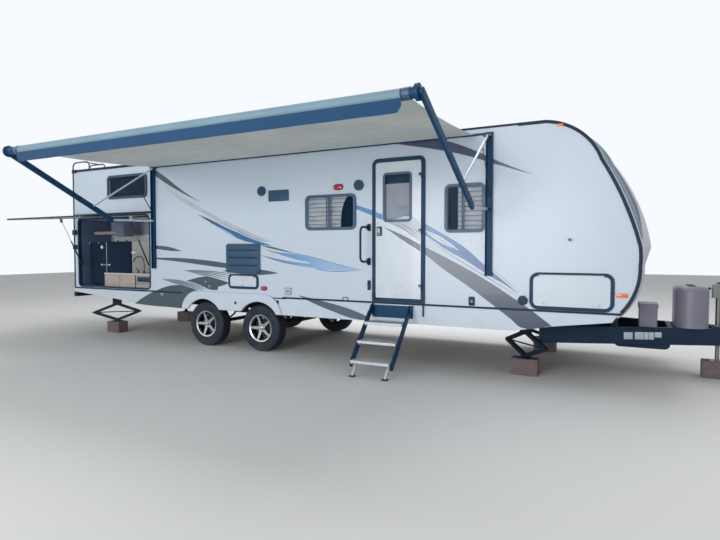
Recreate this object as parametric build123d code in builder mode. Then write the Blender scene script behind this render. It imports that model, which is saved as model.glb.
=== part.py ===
import os
from math import atan2, cos, degrees, hypot, radians, sin

from build123d import *

# Travel caravan, standing on its wheels, its hitch jack and its corner jacks.
# Millimetres. X points forward to the hitch, Y to the off side, Z up from the floor.
# The origin lies on the floor, on the centre line, under the hitch jack.
# Places along the body are given from the rear wall, through the function along.

os.makedirs("parts", exist_ok=True)

# Body shell
jack_from_rear = 10060
body_width = 2440
wall = 50
belt_height = 824
eaves_height = 2965
roof_crown = 40
roof_thickness = 60
floor_thickness = 90
front_radius_start = 8250
rear_corner_radius = 70
fit = 0.3
half_width = body_width / 2
inner_half = half_width - wall
floor_underside = belt_height - floor_thickness

# Front cap, at the side walls and at the centre line: distance from the rear wall, height
nose_side = [(8250, 2965), (8610, 2820), (8840, 2500), (9082, 2000), (9225, 1555),
             (9232, 1450), (9228, 1340), (9190, 1080), (9015, 780)]
nose_middle = [(8250, 3005), (8670, 2880), (8940, 2560), (9190, 2120), (9350, 1555),
               (9318, 1450), (9285, 1340), (9255, 1080), (9110, 780)]
cap_wall = 40
cap_foot = 9042
floor_length = 8930

# Roof fittings and the ladder
air_conditioner = (4650, 960, 700, 265)
roof_vent_places = [1200, 6250, 7500]
roof_vent_size = 380
ladder_rails = (-half_width + 90, -half_width + 420)
ladder_stand = 130
ladder_radius = 13
ladder_low = 900
ladder_top = 3130
ladder_foot = 330
rung_step = 280

# Edge mouldings
moulding_proud = 8
belt_moulding = 16
nose_moulding = 28
moulding_wrap = 30
trim_front = 9100

# Skirt and running gear
skirt_thickness = 12
skirt_outline = [(0, 755), (1600, 620), (2500, 575), (7900, 575), (8360, 656), (8960, 735)]
skirt_front = 9015
axle_places = {"rear": 3155, "front": 4223}
tyre_radius = 350
tyre_width = 210
wheel_face = half_width - 30
bead_radius = 190
rim_flange = 206
rim_width = 170
hub_radius = 46
spindle_radius = 17
drum_radius = 130
spoke_count = 5
spoke_opening = (150, 92, 63)
arch_radius = 400
fender_top = 868
fender_ends = (2690, 4645)
fender_shoulders = (3020, 4310)
fender_low = 575
fender_dip = 592
fender_proud = 30
well_ends = (2750, 4590)
well_inner = half_width - 295
well_height = 880
well_sheet = 12
axle_tube_radius = 30
spring_half = 330
spring_pack = 22

# Chassis
rail_place = half_width - 360
spring_seat = rail_place
rail_bottom = 605
rail_web = 8
rail_flange = 64
rail_rear_bottom = 675
rail_taper_end = 1600
rail_front = 8560
cross_places = [250, 1500, 2600, 4800, 6000, 7200, 8300]
cross_depth = 80
bumper_size = 80
bumper_length = body_width - 60
hitch_rail_depth = 200
hitch_rail_width = 50
hitch_rail_rear = (8160, rail_place - 15)
hitch_rail_nose = (10240, 62)
tray_bottom = 335
tray_ends = (8960, 9560)
tray_height = 170
hitch_cross = 8420
ball_from_jack = 400
ball_radius = 29.4
ball_height = 500
socket_low = 60
socket_depth = 70

# Gas bottles under one cover, battery box
gas_place = 9775
gas_size = (660, 350)
gas_height = 485
battery_place = 9322
battery_side = -210
battery_size = (196, 330)
battery_height = 225
battery_lid = 48

# Jacks and timber blocks
jack_tube_radius = 29
jack_leg_radius = 23
jack_tube_low = 395
jack_head_top = 1120
jack_pad = 150
block_height = 200
block_size = (310, 200)
jack_top = 545
jack_middle = 373
jack_span = 760
jack_arm = 46
jack_width = 46
jack_places = {"rear": 660, "front": 8000}
screw_radius = 9

# Windows: distance of the rear edge, length, sill, height
camp_windows = {"bunk": (940, 980, 2400, 410),
                "galley": (5060, 800, 1790, 485),
                "bedroom": (7085, 500, 1728, 592)}
off_windows = {"bunk": (940, 980, 2400, 410),
               "dinette": (4700, 1500, 1560, 715),
               "bedroom": (7085, 500, 1728, 592)}
window_frame = 32
window_proud = 20
window_corner = 75
pane = 5
blind_gap = 22
blind = 6

# Entry door
door_frame_rear = 6100
door_frame_front = 6835
door_frame_low = 842
door_frame_top = 2700
door_band = 48
door_flange = 12
jamb = 8
door_gap = 6
door_leaf_thickness = 38
door_corner = 85
hinge_barrel = 7
hinge_pin = 3
hinge_length = 70
hinge_heights = [1050, 1750, 2450]
door_window = (6273, 372, 1891, 606)
door_window_corner = 40
lock_plate = (6172, 74, 1700, 122)
lock_dish = (6184, 50, 1745, 62)
lock_lever = (6209, 1790)

# Outdoor kitchen
kitchen_rear = 130
kitchen_front = 1950
kitchen_low = 872
kitchen_top = 2070
kitchen_corner = 60
kitchen_depth = 640
kitchen_sheet = 12
kitchen_band = 26
hatch_lap = 20
hatch_thickness = 30
hatch_seal = 5
hatch_hinge_proud = 19
hatch_hinge_rise = 28
hatch_angle = 85.5
strut_inset = 40
strut_base_height = 1270
strut_base_in = 14
strut_reach = 330
strut_drop = 60
strut_cylinder = 450
strut_cylinder_radius = 11
strut_rod_radius = 4
strut_rod_tail = 40
strut_eye = 12

# Small doors: distance of the rear edge, length, low edge, height, corner radius
storage_frame = (8100, 880, 842, 422, 95)
service_frame = (3655, 575, 930, 224, 70)
small_band = 36
small_proud = 10
small_hinge_proud = 13
hinge_rise = 6
lug = 8
small_leaf = 26

# Refrigerator vent
vent_box = (3625, 640, 1172, 440)
vent_slots = 4
vent_corner = 40
vent_band = 34
vent_proud = 20

# Awning
awning_arm_places = [2075, 7631]
awning_rail_height = 2897
channel_width = 78
channel_depth = 42
channel_low = 1210
channel_back = 6
link_depth = 32
roller_centre = (-half_width - 2298, 2764)
arm_elbow = (-half_width - 795, 1975)
link_root = (-half_width - link_depth, 2000)
strut_root = (-half_width - link_depth, 2862)
strut_meet = (-half_width - 1137, 2154)
brace_top = (-half_width - 380, 2636)
brace_root = (-half_width - link_depth, 2150)
arm_width = 72
arm_thickness = 32
link_width = 44
link_thickness = 20
brace_radius = 8
joint_pin = 6
roller_radius = 48
roller_end = 70
canopy_thickness = 4
canopy_sag = 45
canopy_ends = (2125, 7446)
valance_ends = (2350, 7485)
valance_drop = 150

# Entry stair
stair_rear = 6110
stair_width = 560
tread_run = 190
tread_rise = 210
tread_count = 3
tread_depth = 205
tread_thickness = 34
tread_nose = 62
sill_pivot = (-half_width - 65, 772)
pivot_drop = 48
stair_plate = 8
stair_plate_width = 88
pin_radius = 6
leg_size = 26
leg_lean = 125
leg_foot = 62

# Grab handle
grab_place = 6052
grab_heights = (1350, 1830)
grab_reach = 210
grab_radius = 14
grab_stand = 48


def along(distance):
    return distance - jack_from_rear


def side_points(points):
    return [(along(distance), height) for distance, height in points]


camp_face = Plane.XZ.offset(half_width)
off_face = Plane.XZ.offset(-half_width)


# Side outline of the body, shared by both walls and the mouldings
def wall_outline():
    nose = side_points([p for p in nose_side if p[1] >= belt_height - 60])
    with BuildSketch(Plane.XZ) as outline:
        with BuildLine():
            front_low = (along(cap_foot), belt_height)
            ThreePointArc(nose[0], nose[1], nose[2])
            ThreePointArc(nose[2], nose[3], nose[4])
            ThreePointArc(nose[4], nose[5], nose[6])
            ThreePointArc(nose[6], nose[7], front_low)
            Polyline(front_low, (along(0), belt_height), (along(0), eaves_height), nose[0])
        make_face()
        rear_top = outline.vertices().filter_by(lambda v: abs(v.X - along(0)) < 1).sort_by(Axis.Z)[-1]
        fillet(rear_top, rear_corner_radius)
    return outline.sketch


body_outline = wall_outline()


# A rounded rectangle on a side plane: rear edge, length, low edge, height
def panel(plane, box, corner, grow=0):
    rear_edge, length, low, height = box[:4]
    with BuildSketch(plane) as shape:
        with Locations((along(rear_edge) + length / 2, low + height / 2)):
            RectangleRounded(length + 2 * grow, height + 2 * grow, max(corner + grow, 1))
    return shape.sketch


# The same as a ring of a given band
def ring(plane, box, corner, outer, inner):
    rear_edge, length, low, height = box[:4]
    with BuildSketch(plane) as shape:
        with Locations((along(rear_edge) + length / 2, low + height / 2)):
            RectangleRounded(length + 2 * outer, height + 2 * outer, max(corner + outer, 1))
            RectangleRounded(length + 2 * inner, height + 2 * inner, max(corner + inner, 1), mode=Mode.SUBTRACT)
    return shape.sketch


# The entry door's outline, round above and square below
def door_shape(plane, grow):
    rear_edge, length, low, height = door_box
    with BuildSketch(plane) as shape:
        with Locations((along(rear_edge) + length / 2, low + height / 2)):
            RectangleRounded(length + 2 * grow, height + 2 * grow, door_corner + grow)
        with Locations((along(rear_edge) + length / 2, low - grow)):
            Rectangle(length + 2 * grow, height / 2, align=(Align.CENTER, Align.MIN))
    return shape.sketch


# A flat link with round ends between two pins, drawn in the plane across the body
def link_shape(place, start, end, width):
    length = hypot(end[0] - start[0], end[1] - start[1])
    turn = degrees(atan2(end[1] - start[1], end[0] - start[0]))
    with BuildSketch(Plane.YZ.offset(place)) as shape:
        with Locations(((start[0] + end[0]) / 2, (start[1] + end[1]) / 2)):
            SlotCenterToCenter(length, width, rotation=turn)
    return shape.sketch


# Walls
window_holes_camp = [(box, window_corner - window_frame, -window_frame) for box in camp_windows.values()]
window_holes_off = [(box, window_corner - window_frame, -window_frame) for box in off_windows.values()]
door_box = (door_frame_rear, door_frame_front - door_frame_rear, door_frame_low,
            door_frame_top - door_frame_low)
kitchen_box = (kitchen_rear, kitchen_front - kitchen_rear, kitchen_low, kitchen_top - kitchen_low)
kitchen_hole = (kitchen_box, kitchen_corner, jamb)
storage_hole = (storage_frame, storage_frame[4], -small_band / 2)
service_hole = (service_frame, service_frame[4], -small_band / 2)

with BuildPart() as side_wall_camp:
    with BuildSketch(camp_face):
        add(body_outline)
    extrude(amount=-wall)
    for box, corner, grow in window_holes_camp + [kitchen_hole, storage_hole, service_hole]:
        extrude(panel(camp_face, box, corner, grow), amount=-wall, mode=Mode.SUBTRACT)
    extrude(door_shape(camp_face, -door_band / 2), amount=-wall, mode=Mode.SUBTRACT)

with BuildPart() as side_wall_off:
    with BuildSketch(off_face):
        add(body_outline)
    extrude(amount=wall)
    for box, corner, grow in window_holes_off + [storage_hole]:
        extrude(panel(off_face, box, corner, grow), amount=wall, mode=Mode.SUBTRACT)

with BuildPart() as rear_wall:
    with BuildSketch(Plane.YZ.offset(along(0))):
        with Locations((0, belt_height)):
            Rectangle(2 * inner_half, eaves_height - roof_thickness - belt_height,
                      align=(Align.CENTER, Align.MIN))
    extrude(amount=wall)

with BuildPart() as roof:
    with BuildSketch(Plane.YZ.offset(along(0))):
        with BuildLine():
            ThreePointArc((-inner_half, eaves_height), (0, eaves_height + roof_crown),
                          (inner_half, eaves_height))
            Polyline((inner_half, eaves_height), (inner_half, eaves_height - roof_thickness),
                     (-inner_half, eaves_height - roof_thickness), (-inner_half, eaves_height))
        make_face()
    extrude(amount=front_radius_start - fit)


# Front cap: a curved sheet through three outlines of arcs
def inset(points, depth):
    moved = []
    for i, point in enumerate(points):
        before = points[max(i - 1, 0)]
        after = points[min(i + 1, len(points) - 1)]
        run = hypot(after[0] - before[0], after[1] - before[1])
        normal = (-(after[1] - before[1]) / run, (after[0] - before[0]) / run)
        moved.append((point[0] - depth * normal[0], point[1] - depth * normal[1]))
    moved[0] = (points[0][0], points[0][1] - depth)
    return moved


def cap_section(place, points):
    outer = side_points(points)
    inner = side_points(inset(points, cap_wall))
    with BuildSketch(Plane.XZ.offset(-place)) as section:
        with BuildLine():
            for i in range(0, len(outer) - 1, 2):
                ThreePointArc(outer[i], outer[i + 1], outer[i + 2])
            Line(outer[-1], inner[-1])
            for i in range(len(inner) - 1, 0, -2):
                ThreePointArc(inner[i], inner[i - 1], inner[i - 2])
            Line(inner[0], outer[0])
        make_face()
    return section.sketch


with BuildPart() as front_cap:
    cap_sides = [cap_section(side * inner_half, nose_side) for side in (-1, 1)]
    loft([cap_sides[0], cap_section(0, nose_middle), cap_sides[1]])

# Floor with the wheel wells
with BuildPart() as floor:
    with BuildSketch(Plane.XY.offset(floor_underside)):
        with Locations((along(0), 0)):
            Rectangle(floor_length, body_width - 2 * skirt_thickness, align=(Align.MIN, Align.CENTER))
    extrude(amount=floor_thickness)
    well_length = well_ends[1] - well_ends[0]
    well_width = half_width - skirt_thickness - well_inner
    for side in (-1, 1):
        centre = (along(well_ends[0]) + well_length / 2, side * (well_inner + well_width / 2))
        with Locations((centre[0], centre[1], floor_underside)):
            Box(well_length, well_width, floor_thickness, align=(Align.CENTER, Align.CENTER, Align.MIN),
                mode=Mode.SUBTRACT)
        well_reach = inner_half - well_inner + well_sheet
        with Locations((centre[0], side * (inner_half - well_reach / 2), belt_height)):
            Box(well_length + 2 * well_sheet, well_reach, well_height - belt_height,
                align=(Align.CENTER, Align.CENTER, Align.MIN))
        with Locations((centre[0], side * (inner_half - (inner_half - well_inner) / 2), belt_height)):
            Box(well_length, inner_half - well_inner, well_height - belt_height - well_sheet,
                align=(Align.CENTER, Align.CENTER, Align.MIN), mode=Mode.SUBTRACT)

# Skirts below the belt line, open at the wheels
with BuildPart() as skirts:
    for plane, inward in ((camp_face, -1), (off_face, 1)):
        with BuildSketch(plane):
            with BuildLine():
                skirt_ends = [(skirt_front, belt_height), (0, belt_height)]
                Polyline(*side_points(skirt_outline + skirt_ends), close=True)
            make_face()
            with Locations((along(well_ends[0]), fender_low - 20)):
                Rectangle(well_ends[1] - well_ends[0], floor_underside + 50 - fender_low + 20,
                          align=(Align.MIN, Align.MIN), mode=Mode.SUBTRACT)
        extrude(amount=inward * skirt_thickness)

# Double-arch wheel covers
with BuildPart() as fenders:
    for plane, outward in ((camp_face, 1), (off_face, -1)):
        with BuildSketch(plane):
            with BuildLine():
                low_rear = (along(fender_ends[0]), fender_low)
                top_rear = (along(fender_shoulders[0]), fender_top)
                top_front = (along(fender_shoulders[1]), fender_top)
                low_front = (along(fender_ends[1]), fender_low)
                Line(low_rear, low_front)
                ThreePointArc(low_front, (along(fender_ends[1] - 90), fender_top - 105), top_front)
                Line(top_front, top_rear)
                ThreePointArc(top_rear, (along(fender_ends[0] + 90), fender_top - 105), low_rear)
            make_face()
            with Locations(*[(along(place), tyre_radius) for place in axle_places.values()]):
                Circle(arch_radius, mode=Mode.SUBTRACT)
            with Locations((along(sum(axle_places.values()) / 2), fender_dip)):
                Rectangle(700, 100, align=(Align.CENTER, Align.MAX), mode=Mode.SUBTRACT)
        extrude(amount=outward * fender_proud)
    outer_faces = fenders.faces().filter_by(Axis.Y).filter_by(
        lambda f: abs(abs(f.center().Y) - half_width - fender_proud) < 1)
    fillet(outer_faces.edges(), fender_proud * 0.4)

# Edge mouldings: belt line, rear corners, gutter and the broad band along the nose
with BuildPart() as corner_trims:
    for plane, outward in ((camp_face, 1), (off_face, -1)):
        with BuildSketch(plane):
            add(body_outline)
            offset(amount=moulding_proud, kind=Kind.INTERSECTION)
            with BuildSketch(plane, mode=Mode.PRIVATE) as kept:
                add(body_outline)
                offset(amount=-belt_moulding, kind=Kind.INTERSECTION)
            add(kept.sketch, mode=Mode.SUBTRACT)
            with Locations((along(fender_ends[0] - 10), belt_height - 50)):
                Rectangle(fender_ends[1] - fender_ends[0] + 20, 100, align=(Align.MIN, Align.MIN),
                          mode=Mode.SUBTRACT)
        extrude(amount=outward * moulding_proud)
        with BuildSketch(plane):
            add(body_outline)
            with BuildSketch(plane, mode=Mode.PRIVATE) as kept:
                add(body_outline)
                offset(amount=-nose_moulding, kind=Kind.INTERSECTION)
            add(kept.sketch, mode=Mode.SUBTRACT)
            with Locations((along(front_radius_start - 300), belt_height + nose_moulding)):
                Rectangle(trim_front - front_radius_start + 600, eaves_height - belt_height,
                          align=(Align.MIN, Align.MIN), mode=Mode.INTERSECT)
        extrude(amount=outward * moulding_proud)
        with BuildSketch(plane):
            add(body_outline)
            offset(amount=moulding_proud, kind=Kind.INTERSECTION)
            add(body_outline, mode=Mode.SUBTRACT)
            with Locations((along(trim_front), belt_height)):
                Rectangle(trim_front + 100, 60, align=(Align.MAX, Align.CENTER), mode=Mode.SUBTRACT)
        extrude(amount=-outward * moulding_wrap)


# Ladder-braced chassis: tapered rails, cross members, outriggers and the rear bumper
with BuildPart() as chassis_frame:
    for side in (-1, 1):
        web_outline = [(0, floor_underside), (0, rail_rear_bottom), (rail_taper_end, rail_bottom),
                       (rail_front, rail_bottom), (rail_front, floor_underside)]
        low_flange = [(0, rail_rear_bottom), (rail_taper_end, rail_bottom), (rail_front, rail_bottom),
                      (rail_front, rail_bottom + rail_web), (rail_taper_end, rail_bottom + rail_web),
                      (0, rail_rear_bottom + rail_web)]
        with BuildSketch(Plane.XZ.offset(-side * rail_place)):
            with BuildLine():
                Polyline(*side_points(web_outline), close=True)
            make_face()
        extrude(amount=rail_web / 2, both=True)
        with BuildSketch(Plane.XZ.offset(-side * rail_place)):
            with BuildLine():
                Polyline(*side_points(low_flange), close=True)
            make_face()
        extrude(amount=rail_flange / 2, both=True)
        with Locations((along(0), side * rail_place, floor_underside)):
            Box(rail_front, rail_flange, rail_web, align=(Align.MIN, Align.CENTER, Align.MAX))
    for place in cross_places:
        with Locations((along(place), 0, floor_underside)):
            Box(rail_web, 2 * rail_place, cross_depth, align=(Align.CENTER, Align.CENTER, Align.MAX))
            Box(rail_flange / 2, 2 * half_width - 4 * skirt_thickness, rail_web,
                align=(Align.MIN, Align.CENTER, Align.MAX))
    with Locations((along(-bumper_size), 0, rail_rear_bottom - 15)):
        Box(bumper_size, bumper_length, bumper_size, align=(Align.MIN, Align.CENTER, Align.MIN))

# Tongue: two box rails that meet at the coupler, their cross bars and the low tray,
# welded under the chassis rails
hitch_turn = degrees(atan2(hitch_rail_rear[1] - hitch_rail_nose[1], hitch_rail_nose[0] - hitch_rail_rear[0]))
hitch_run = hypot(hitch_rail_nose[0] - hitch_rail_rear[0], hitch_rail_rear[1] - hitch_rail_nose[1])


def hitch_rail_at(distance):
    share = (distance - hitch_rail_rear[0]) / (hitch_rail_nose[0] - hitch_rail_rear[0])
    return hitch_rail_rear[1] + share * (hitch_rail_nose[1] - hitch_rail_rear[1])


with BuildPart() as a_frame:
    for side in (-1, 1):
        middle = ((hitch_rail_rear[0] + hitch_rail_nose[0]) / 2, (hitch_rail_rear[1] + hitch_rail_nose[1]) / 2)
        with BuildSketch(Plane.XY.offset(rail_bottom - hitch_rail_depth)):
            with Locations(Location((along(middle[0]), side * middle[1]), -side * hitch_turn)):
                Rectangle(hitch_run, hitch_rail_width)
            with Locations((along(hitch_rail_nose[0]), 0)):
                Rectangle(200, 400, align=(Align.MIN, Align.CENTER), mode=Mode.SUBTRACT)
        extrude(amount=hitch_rail_depth - fit)
    for distance in (hitch_cross, *tray_ends):
        with Locations((along(distance), 0, rail_bottom - fit)):
            Box(60, 2 * hitch_rail_at(distance), 90, align=(Align.CENTER, Align.CENTER, Align.MAX))
    with BuildSketch(Plane.XZ) as tray_side:
        with Locations((along(sum(tray_ends) / 2), tray_bottom)):
            RectangleRounded(tray_ends[1] - tray_ends[0], tray_height, 60, align=(Align.CENTER, Align.MIN))
    extrude(amount=hitch_rail_at(tray_ends[1]) - hitch_rail_width / 2, both=True)
    with Locations((along(jack_from_rear), 0, rail_bottom - fit)):
        Box(150, 2 * hitch_rail_at(jack_from_rear) + 60, 12, align=(Align.CENTER, Align.CENTER, Align.MIN))
    with Locations((along(jack_from_rear), 0, 0)):
        Cylinder(jack_tube_radius + fit, 2000, mode=Mode.SUBTRACT)

# Coupler: channel tongue with the ball socket underneath
with BuildPart() as coupler:
    coupler_length = ball_from_jack - (hitch_rail_nose[0] - jack_from_rear) + 62
    with BuildSketch(Plane.YZ.offset(along(hitch_rail_nose[0]) + fit)):
        with Locations((0, ball_height)):
            RectangleRounded(124, 84, 14)
    extrude(amount=coupler_length)
    fillet(coupler.edges().filter_by(Axis.Z).group_by(Axis.X)[-1], 30)
    with Locations((ball_from_jack, 0, ball_height - socket_low)):
        Cylinder(ball_radius + 12, socket_low, align=(Align.CENTER, Align.CENTER, Align.MIN))
        Cylinder(ball_radius, socket_depth, align=(Align.CENTER, Align.CENTER, Align.MIN), mode=Mode.SUBTRACT)
    with Locations((ball_from_jack - 90, 0, ball_height + 42)):
        Cylinder(13, 42, align=(Align.CENTER, Align.CENTER, Align.MIN))
        with Locations((-28, 0, 36)):
            Box(96, 22, 10)

# Hitch jack: head, fixed tube, sliding leg and foot on its timber
with BuildPart() as tongue_jack:
    with Locations((0, 0, jack_tube_low)):
        Cylinder(jack_tube_radius, jack_head_top - 150 - jack_tube_low,
                 align=(Align.CENTER, Align.CENTER, Align.MIN))
    with Locations((0, 0, rail_bottom - fit + 12)):
        Cylinder(62, 12, align=(Align.CENTER, Align.CENTER, Align.MIN))
    with Locations((0, 0, block_height)):
        Cylinder(jack_leg_radius, jack_tube_low - block_height, align=(Align.CENTER, Align.CENTER, Align.MIN))
        Box(jack_pad, jack_pad, 8, align=(Align.CENTER, Align.CENTER, Align.MIN))
    with BuildSketch(Plane.XZ) as head_side:
        with BuildLine():
            Polyline((-62, jack_head_top - 170), (-62, jack_head_top - 20), (-40, jack_head_top),
                     (52, jack_head_top), (72, jack_head_top - 20), (72, jack_head_top - 120),
                     (48, jack_head_top - 170), close=True)
        make_face()
    extrude(amount=60, both=True)
    fillet(tongue_jack.edges().filter_by(Axis.Y).group_by(Axis.Z)[-1], 14)

with BuildPart() as gas_bottle_cover:
    with BuildSketch(Plane.XY.offset(rail_bottom + fit)):
        with Locations((along(gas_place), 0)):
            SlotOverall(*gas_size, rotation=90)
    extrude(amount=gas_height)
    fillet(gas_bottle_cover.edges().group_by(Axis.Z)[-1], 60)
    with Locations((along(gas_place), 0, rail_bottom + gas_height - 35)):
        Box(90, 500, 60, mode=Mode.SUBTRACT, align=(Align.CENTER, Align.CENTER, Align.MIN))

battery_centre = (along(battery_place), battery_side)
with BuildPart() as battery_box:
    with BuildSketch(Plane.XY.offset(rail_bottom + fit)):
        with Locations(battery_centre):
            RectangleRounded(*battery_size, 18)
    extrude(amount=battery_height)
    with BuildSketch(Plane.XY.offset(rail_bottom + fit + battery_height)):
        with Locations(battery_centre):
            RectangleRounded(battery_size[0] + 18, battery_size[1] + 18, 24)
    extrude(amount=battery_lid)
    fillet(battery_box.faces().sort_by(Axis.Z)[-1].edges(), 12)

# Scissor jacks in the four corners, turned by 45 degrees, on timber blocks
def rail_underside(distance):
    rise = max(rail_taper_end - distance, 0) / rail_taper_end
    return rail_bottom + rise * (rail_rear_bottom - rail_bottom)


with BuildPart() as stabilizer_jacks:
    for corner, place in jack_places.items():
        for side in (-1, 1):
            turn = 45 if (corner == "rear") == (side < 0) else -45
            with BuildSketch(Plane.XZ) as arms:
                top = (0, jack_top - 22)
                low = (0, block_height + 26)
                for flank in (-jack_span / 2, jack_span / 2):
                    for end in (top, low):
                        run = hypot(flank, jack_middle - end[1])
                        with Locations(Location((flank / 2, (jack_middle + end[1]) / 2),
                                                degrees(atan2(jack_middle - end[1], flank)))):
                            SlotCenterToCenter(run, jack_arm)
            frame = Plane(origin=(along(place), side * (rail_place - 10), 0),
                          x_dir=Vector(cos(radians(turn)), sin(radians(turn)), 0),
                          z_dir=Vector(sin(radians(turn)), -cos(radians(turn)), 0))
            extrude(arms.sketch.located(frame.location * Plane.XZ.location.inverse()), amount=jack_width / 2,
                    both=True)
            with Locations(frame.location):
                with Locations(Location((0, jack_middle, 0), (0, 90, 0))):
                    Cylinder(screw_radius, jack_span + 90)
            with Locations(Location((along(place), side * (rail_place - 10), jack_top - 40), (0, 0, turn))):
                Box(150, 70, rail_underside(place + 80) - fit - jack_top + 40,
                    align=(Align.CENTER, Align.CENTER, Align.MIN))
            with Locations(Location((along(place), side * (rail_place - 10), block_height), (0, 0, turn))):
                Box(190, 110, 10, align=(Align.CENTER, Align.CENTER, Align.MIN))
                Box(60, 60, 40, align=(Align.CENTER, Align.CENTER, Align.MIN))

with BuildPart() as support_blocks:
    for place in jack_places.values():
        for side in (-1, 1):
            with Locations((along(place), side * (rail_place - 10), 0)):
                Box(*block_size, block_height, align=(Align.CENTER, Align.CENTER, Align.MIN))
    with Locations((0, 0, 0)):
        Box(*block_size, block_height, align=(Align.CENTER, Align.CENTER, Align.MIN))

# Axle tubes with spindles, leaf springs, hangers and equalisers
axle_reach = wheel_face - tyre_width
with BuildPart() as running_gear:
    for place in axle_places.values():
        with Locations(Location((along(place), 0, tyre_radius), (90, 0, 0))):
            Cylinder(axle_tube_radius, 2 * (axle_reach - 30))
            Cylinder(spindle_radius, 2 * (wheel_face - 60))
    for side in (-1, 1):
        for place in axle_places.values():
            low_eye = tyre_radius + axle_tube_radius + 14
            high_eye = rail_bottom - 70
            with BuildSketch(Plane.XZ.offset(-side * spring_seat)):
                with BuildLine():
                    rear_eye, front_eye = along(place - spring_half), along(place + spring_half)
                    under_rear, under_front = rear_eye + 12, front_eye - 12
                    ThreePointArc((rear_eye, high_eye), (along(place), low_eye), (front_eye, high_eye))
                    Line((front_eye, high_eye), (under_front, high_eye - spring_pack))
                    ThreePointArc((under_front, high_eye - spring_pack), (along(place), low_eye - spring_pack),
                                  (under_rear, high_eye - spring_pack))
                    Line((under_rear, high_eye - spring_pack), (rear_eye, high_eye))
                make_face()
            extrude(amount=22, both=True)
            with Locations((along(place), side * spring_seat, low_eye - 10)):
                Box(110, 60, 40)
        middle = sum(axle_places.values()) / 2
        outer_hangers = (min(axle_places.values()) - spring_half, max(axle_places.values()) + spring_half)
        for place in outer_hangers:
            with Locations((along(place), side * spring_seat, rail_bottom - fit)):
                Box(70, 54, 92, align=(Align.CENTER, Align.CENTER, Align.MAX))
        with Locations((along(middle), side * spring_seat, rail_bottom - fit)):
            Box(90, 30, 60, align=(Align.CENTER, Align.CENTER, Align.MAX))
            with Locations((0, 0, -62)):
                Box(450, 44, 36)

# Wheels
spindle_bore = spindle_radius + 0.5
wheel_nodes = {}
for axle, place in axle_places.items():
    for side_name, side in (("camp", -1), ("off", 1)):
        turned = Plane(origin=(along(place), side * wheel_face, tyre_radius), x_dir=(1, 0, 0),
                       z_dir=(0, side, 0))
        with BuildPart() as tyre:
            with BuildSketch(Plane.XZ):
                with BuildLine():
                    Polyline((bead_radius + fit, -28), (rim_flange + 3, -22), (tyre_radius - 70, 0),
                             (tyre_radius - 22, -8), (tyre_radius, -34), (tyre_radius, -tyre_width + 34),
                             (tyre_radius - 22, -tyre_width + 8),
                             (tyre_radius - 70, -tyre_width), (rim_flange + 3, -tyre_width + 22),
                             (bead_radius + fit, -tyre_width + 28), close=True)
                make_face()
            revolve(axis=Axis.Z)
        with BuildPart() as rim:
            with BuildSketch(Plane.XZ):
                with BuildLine():
                    Polyline((rim_flange - 26, -14), (rim_flange, -6), (rim_flange, -18.5), (bead_radius, -24),
                             (bead_radius, -tyre_width + 24), (rim_flange, -tyre_width + 18.5),
                             (rim_flange, -tyre_width + 6), (bead_radius - 12, -tyre_width + 30),
                             (bead_radius - 12, -34), close=True)
                make_face()
                with BuildLine():
                    Polyline((spindle_bore, -42), (hub_radius, -34), (rim_flange - 30, -20),
                             (bead_radius - 8, -22), (bead_radius - 8, -48), (hub_radius, -70),
                             (spindle_bore, -70), close=True)
                make_face()
                with BuildLine():
                    Polyline((spindle_bore, -69), (drum_radius, -69), (drum_radius, -tyre_width + 30),
                             (spindle_bore, -tyre_width + 30), close=True)
                make_face()
            revolve(axis=Axis.Z)
            with BuildSketch(Plane.XY.offset(-10)):
                with PolarLocations(hub_radius + 70, spoke_count):
                    Trapezoid(*spoke_opening, rotation=90)
            extrude(amount=-50, mode=Mode.SUBTRACT)
        for kind, body in (("tyre", tyre), ("rim", rim)):
            wheel_nodes[f"{kind}_{axle}_{side_name}"] = body.part.moved(turned.location)


# The side plane at a given distance proud of a wall: side -1 is the camp side, 1 the off side
def face(side, proud=0):
    return Plane.XZ.offset(-side * (half_width + proud))


# Windows with their frames, panes and blinds
windows_by_side = {-1: camp_windows, 1: off_windows}
slider_bars = {"galley": 0.44, "bedroom": 0.46, "dinette": 0.5}
with BuildPart() as window_frames:
    for side, windows in windows_by_side.items():
        for name, box in windows.items():
            extrude(ring(face(side), box, window_corner, 0, -window_frame), amount=-side * window_proud)
            if name in slider_bars:
                with BuildSketch(face(side, window_proud)):
                    with Locations((along(box[0] + box[1] * slider_bars[name]), box[2] + box[3] / 2)):
                        Rectangle(18, box[3] - window_frame)
                extrude(amount=side * 3.5)
with BuildPart() as window_panes:
    for side, windows in windows_by_side.items():
        for box in windows.values():
            extrude(panel(face(side, window_proud - 4 - pane), box, window_corner, -window_frame - fit),
                    amount=-side * pane)
with BuildPart() as window_blinds:
    for side, windows in windows_by_side.items():
        for box in windows.values():
            extrude(panel(face(side, -blind_gap), box, window_corner, -window_frame - fit), amount=side * blind)

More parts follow.
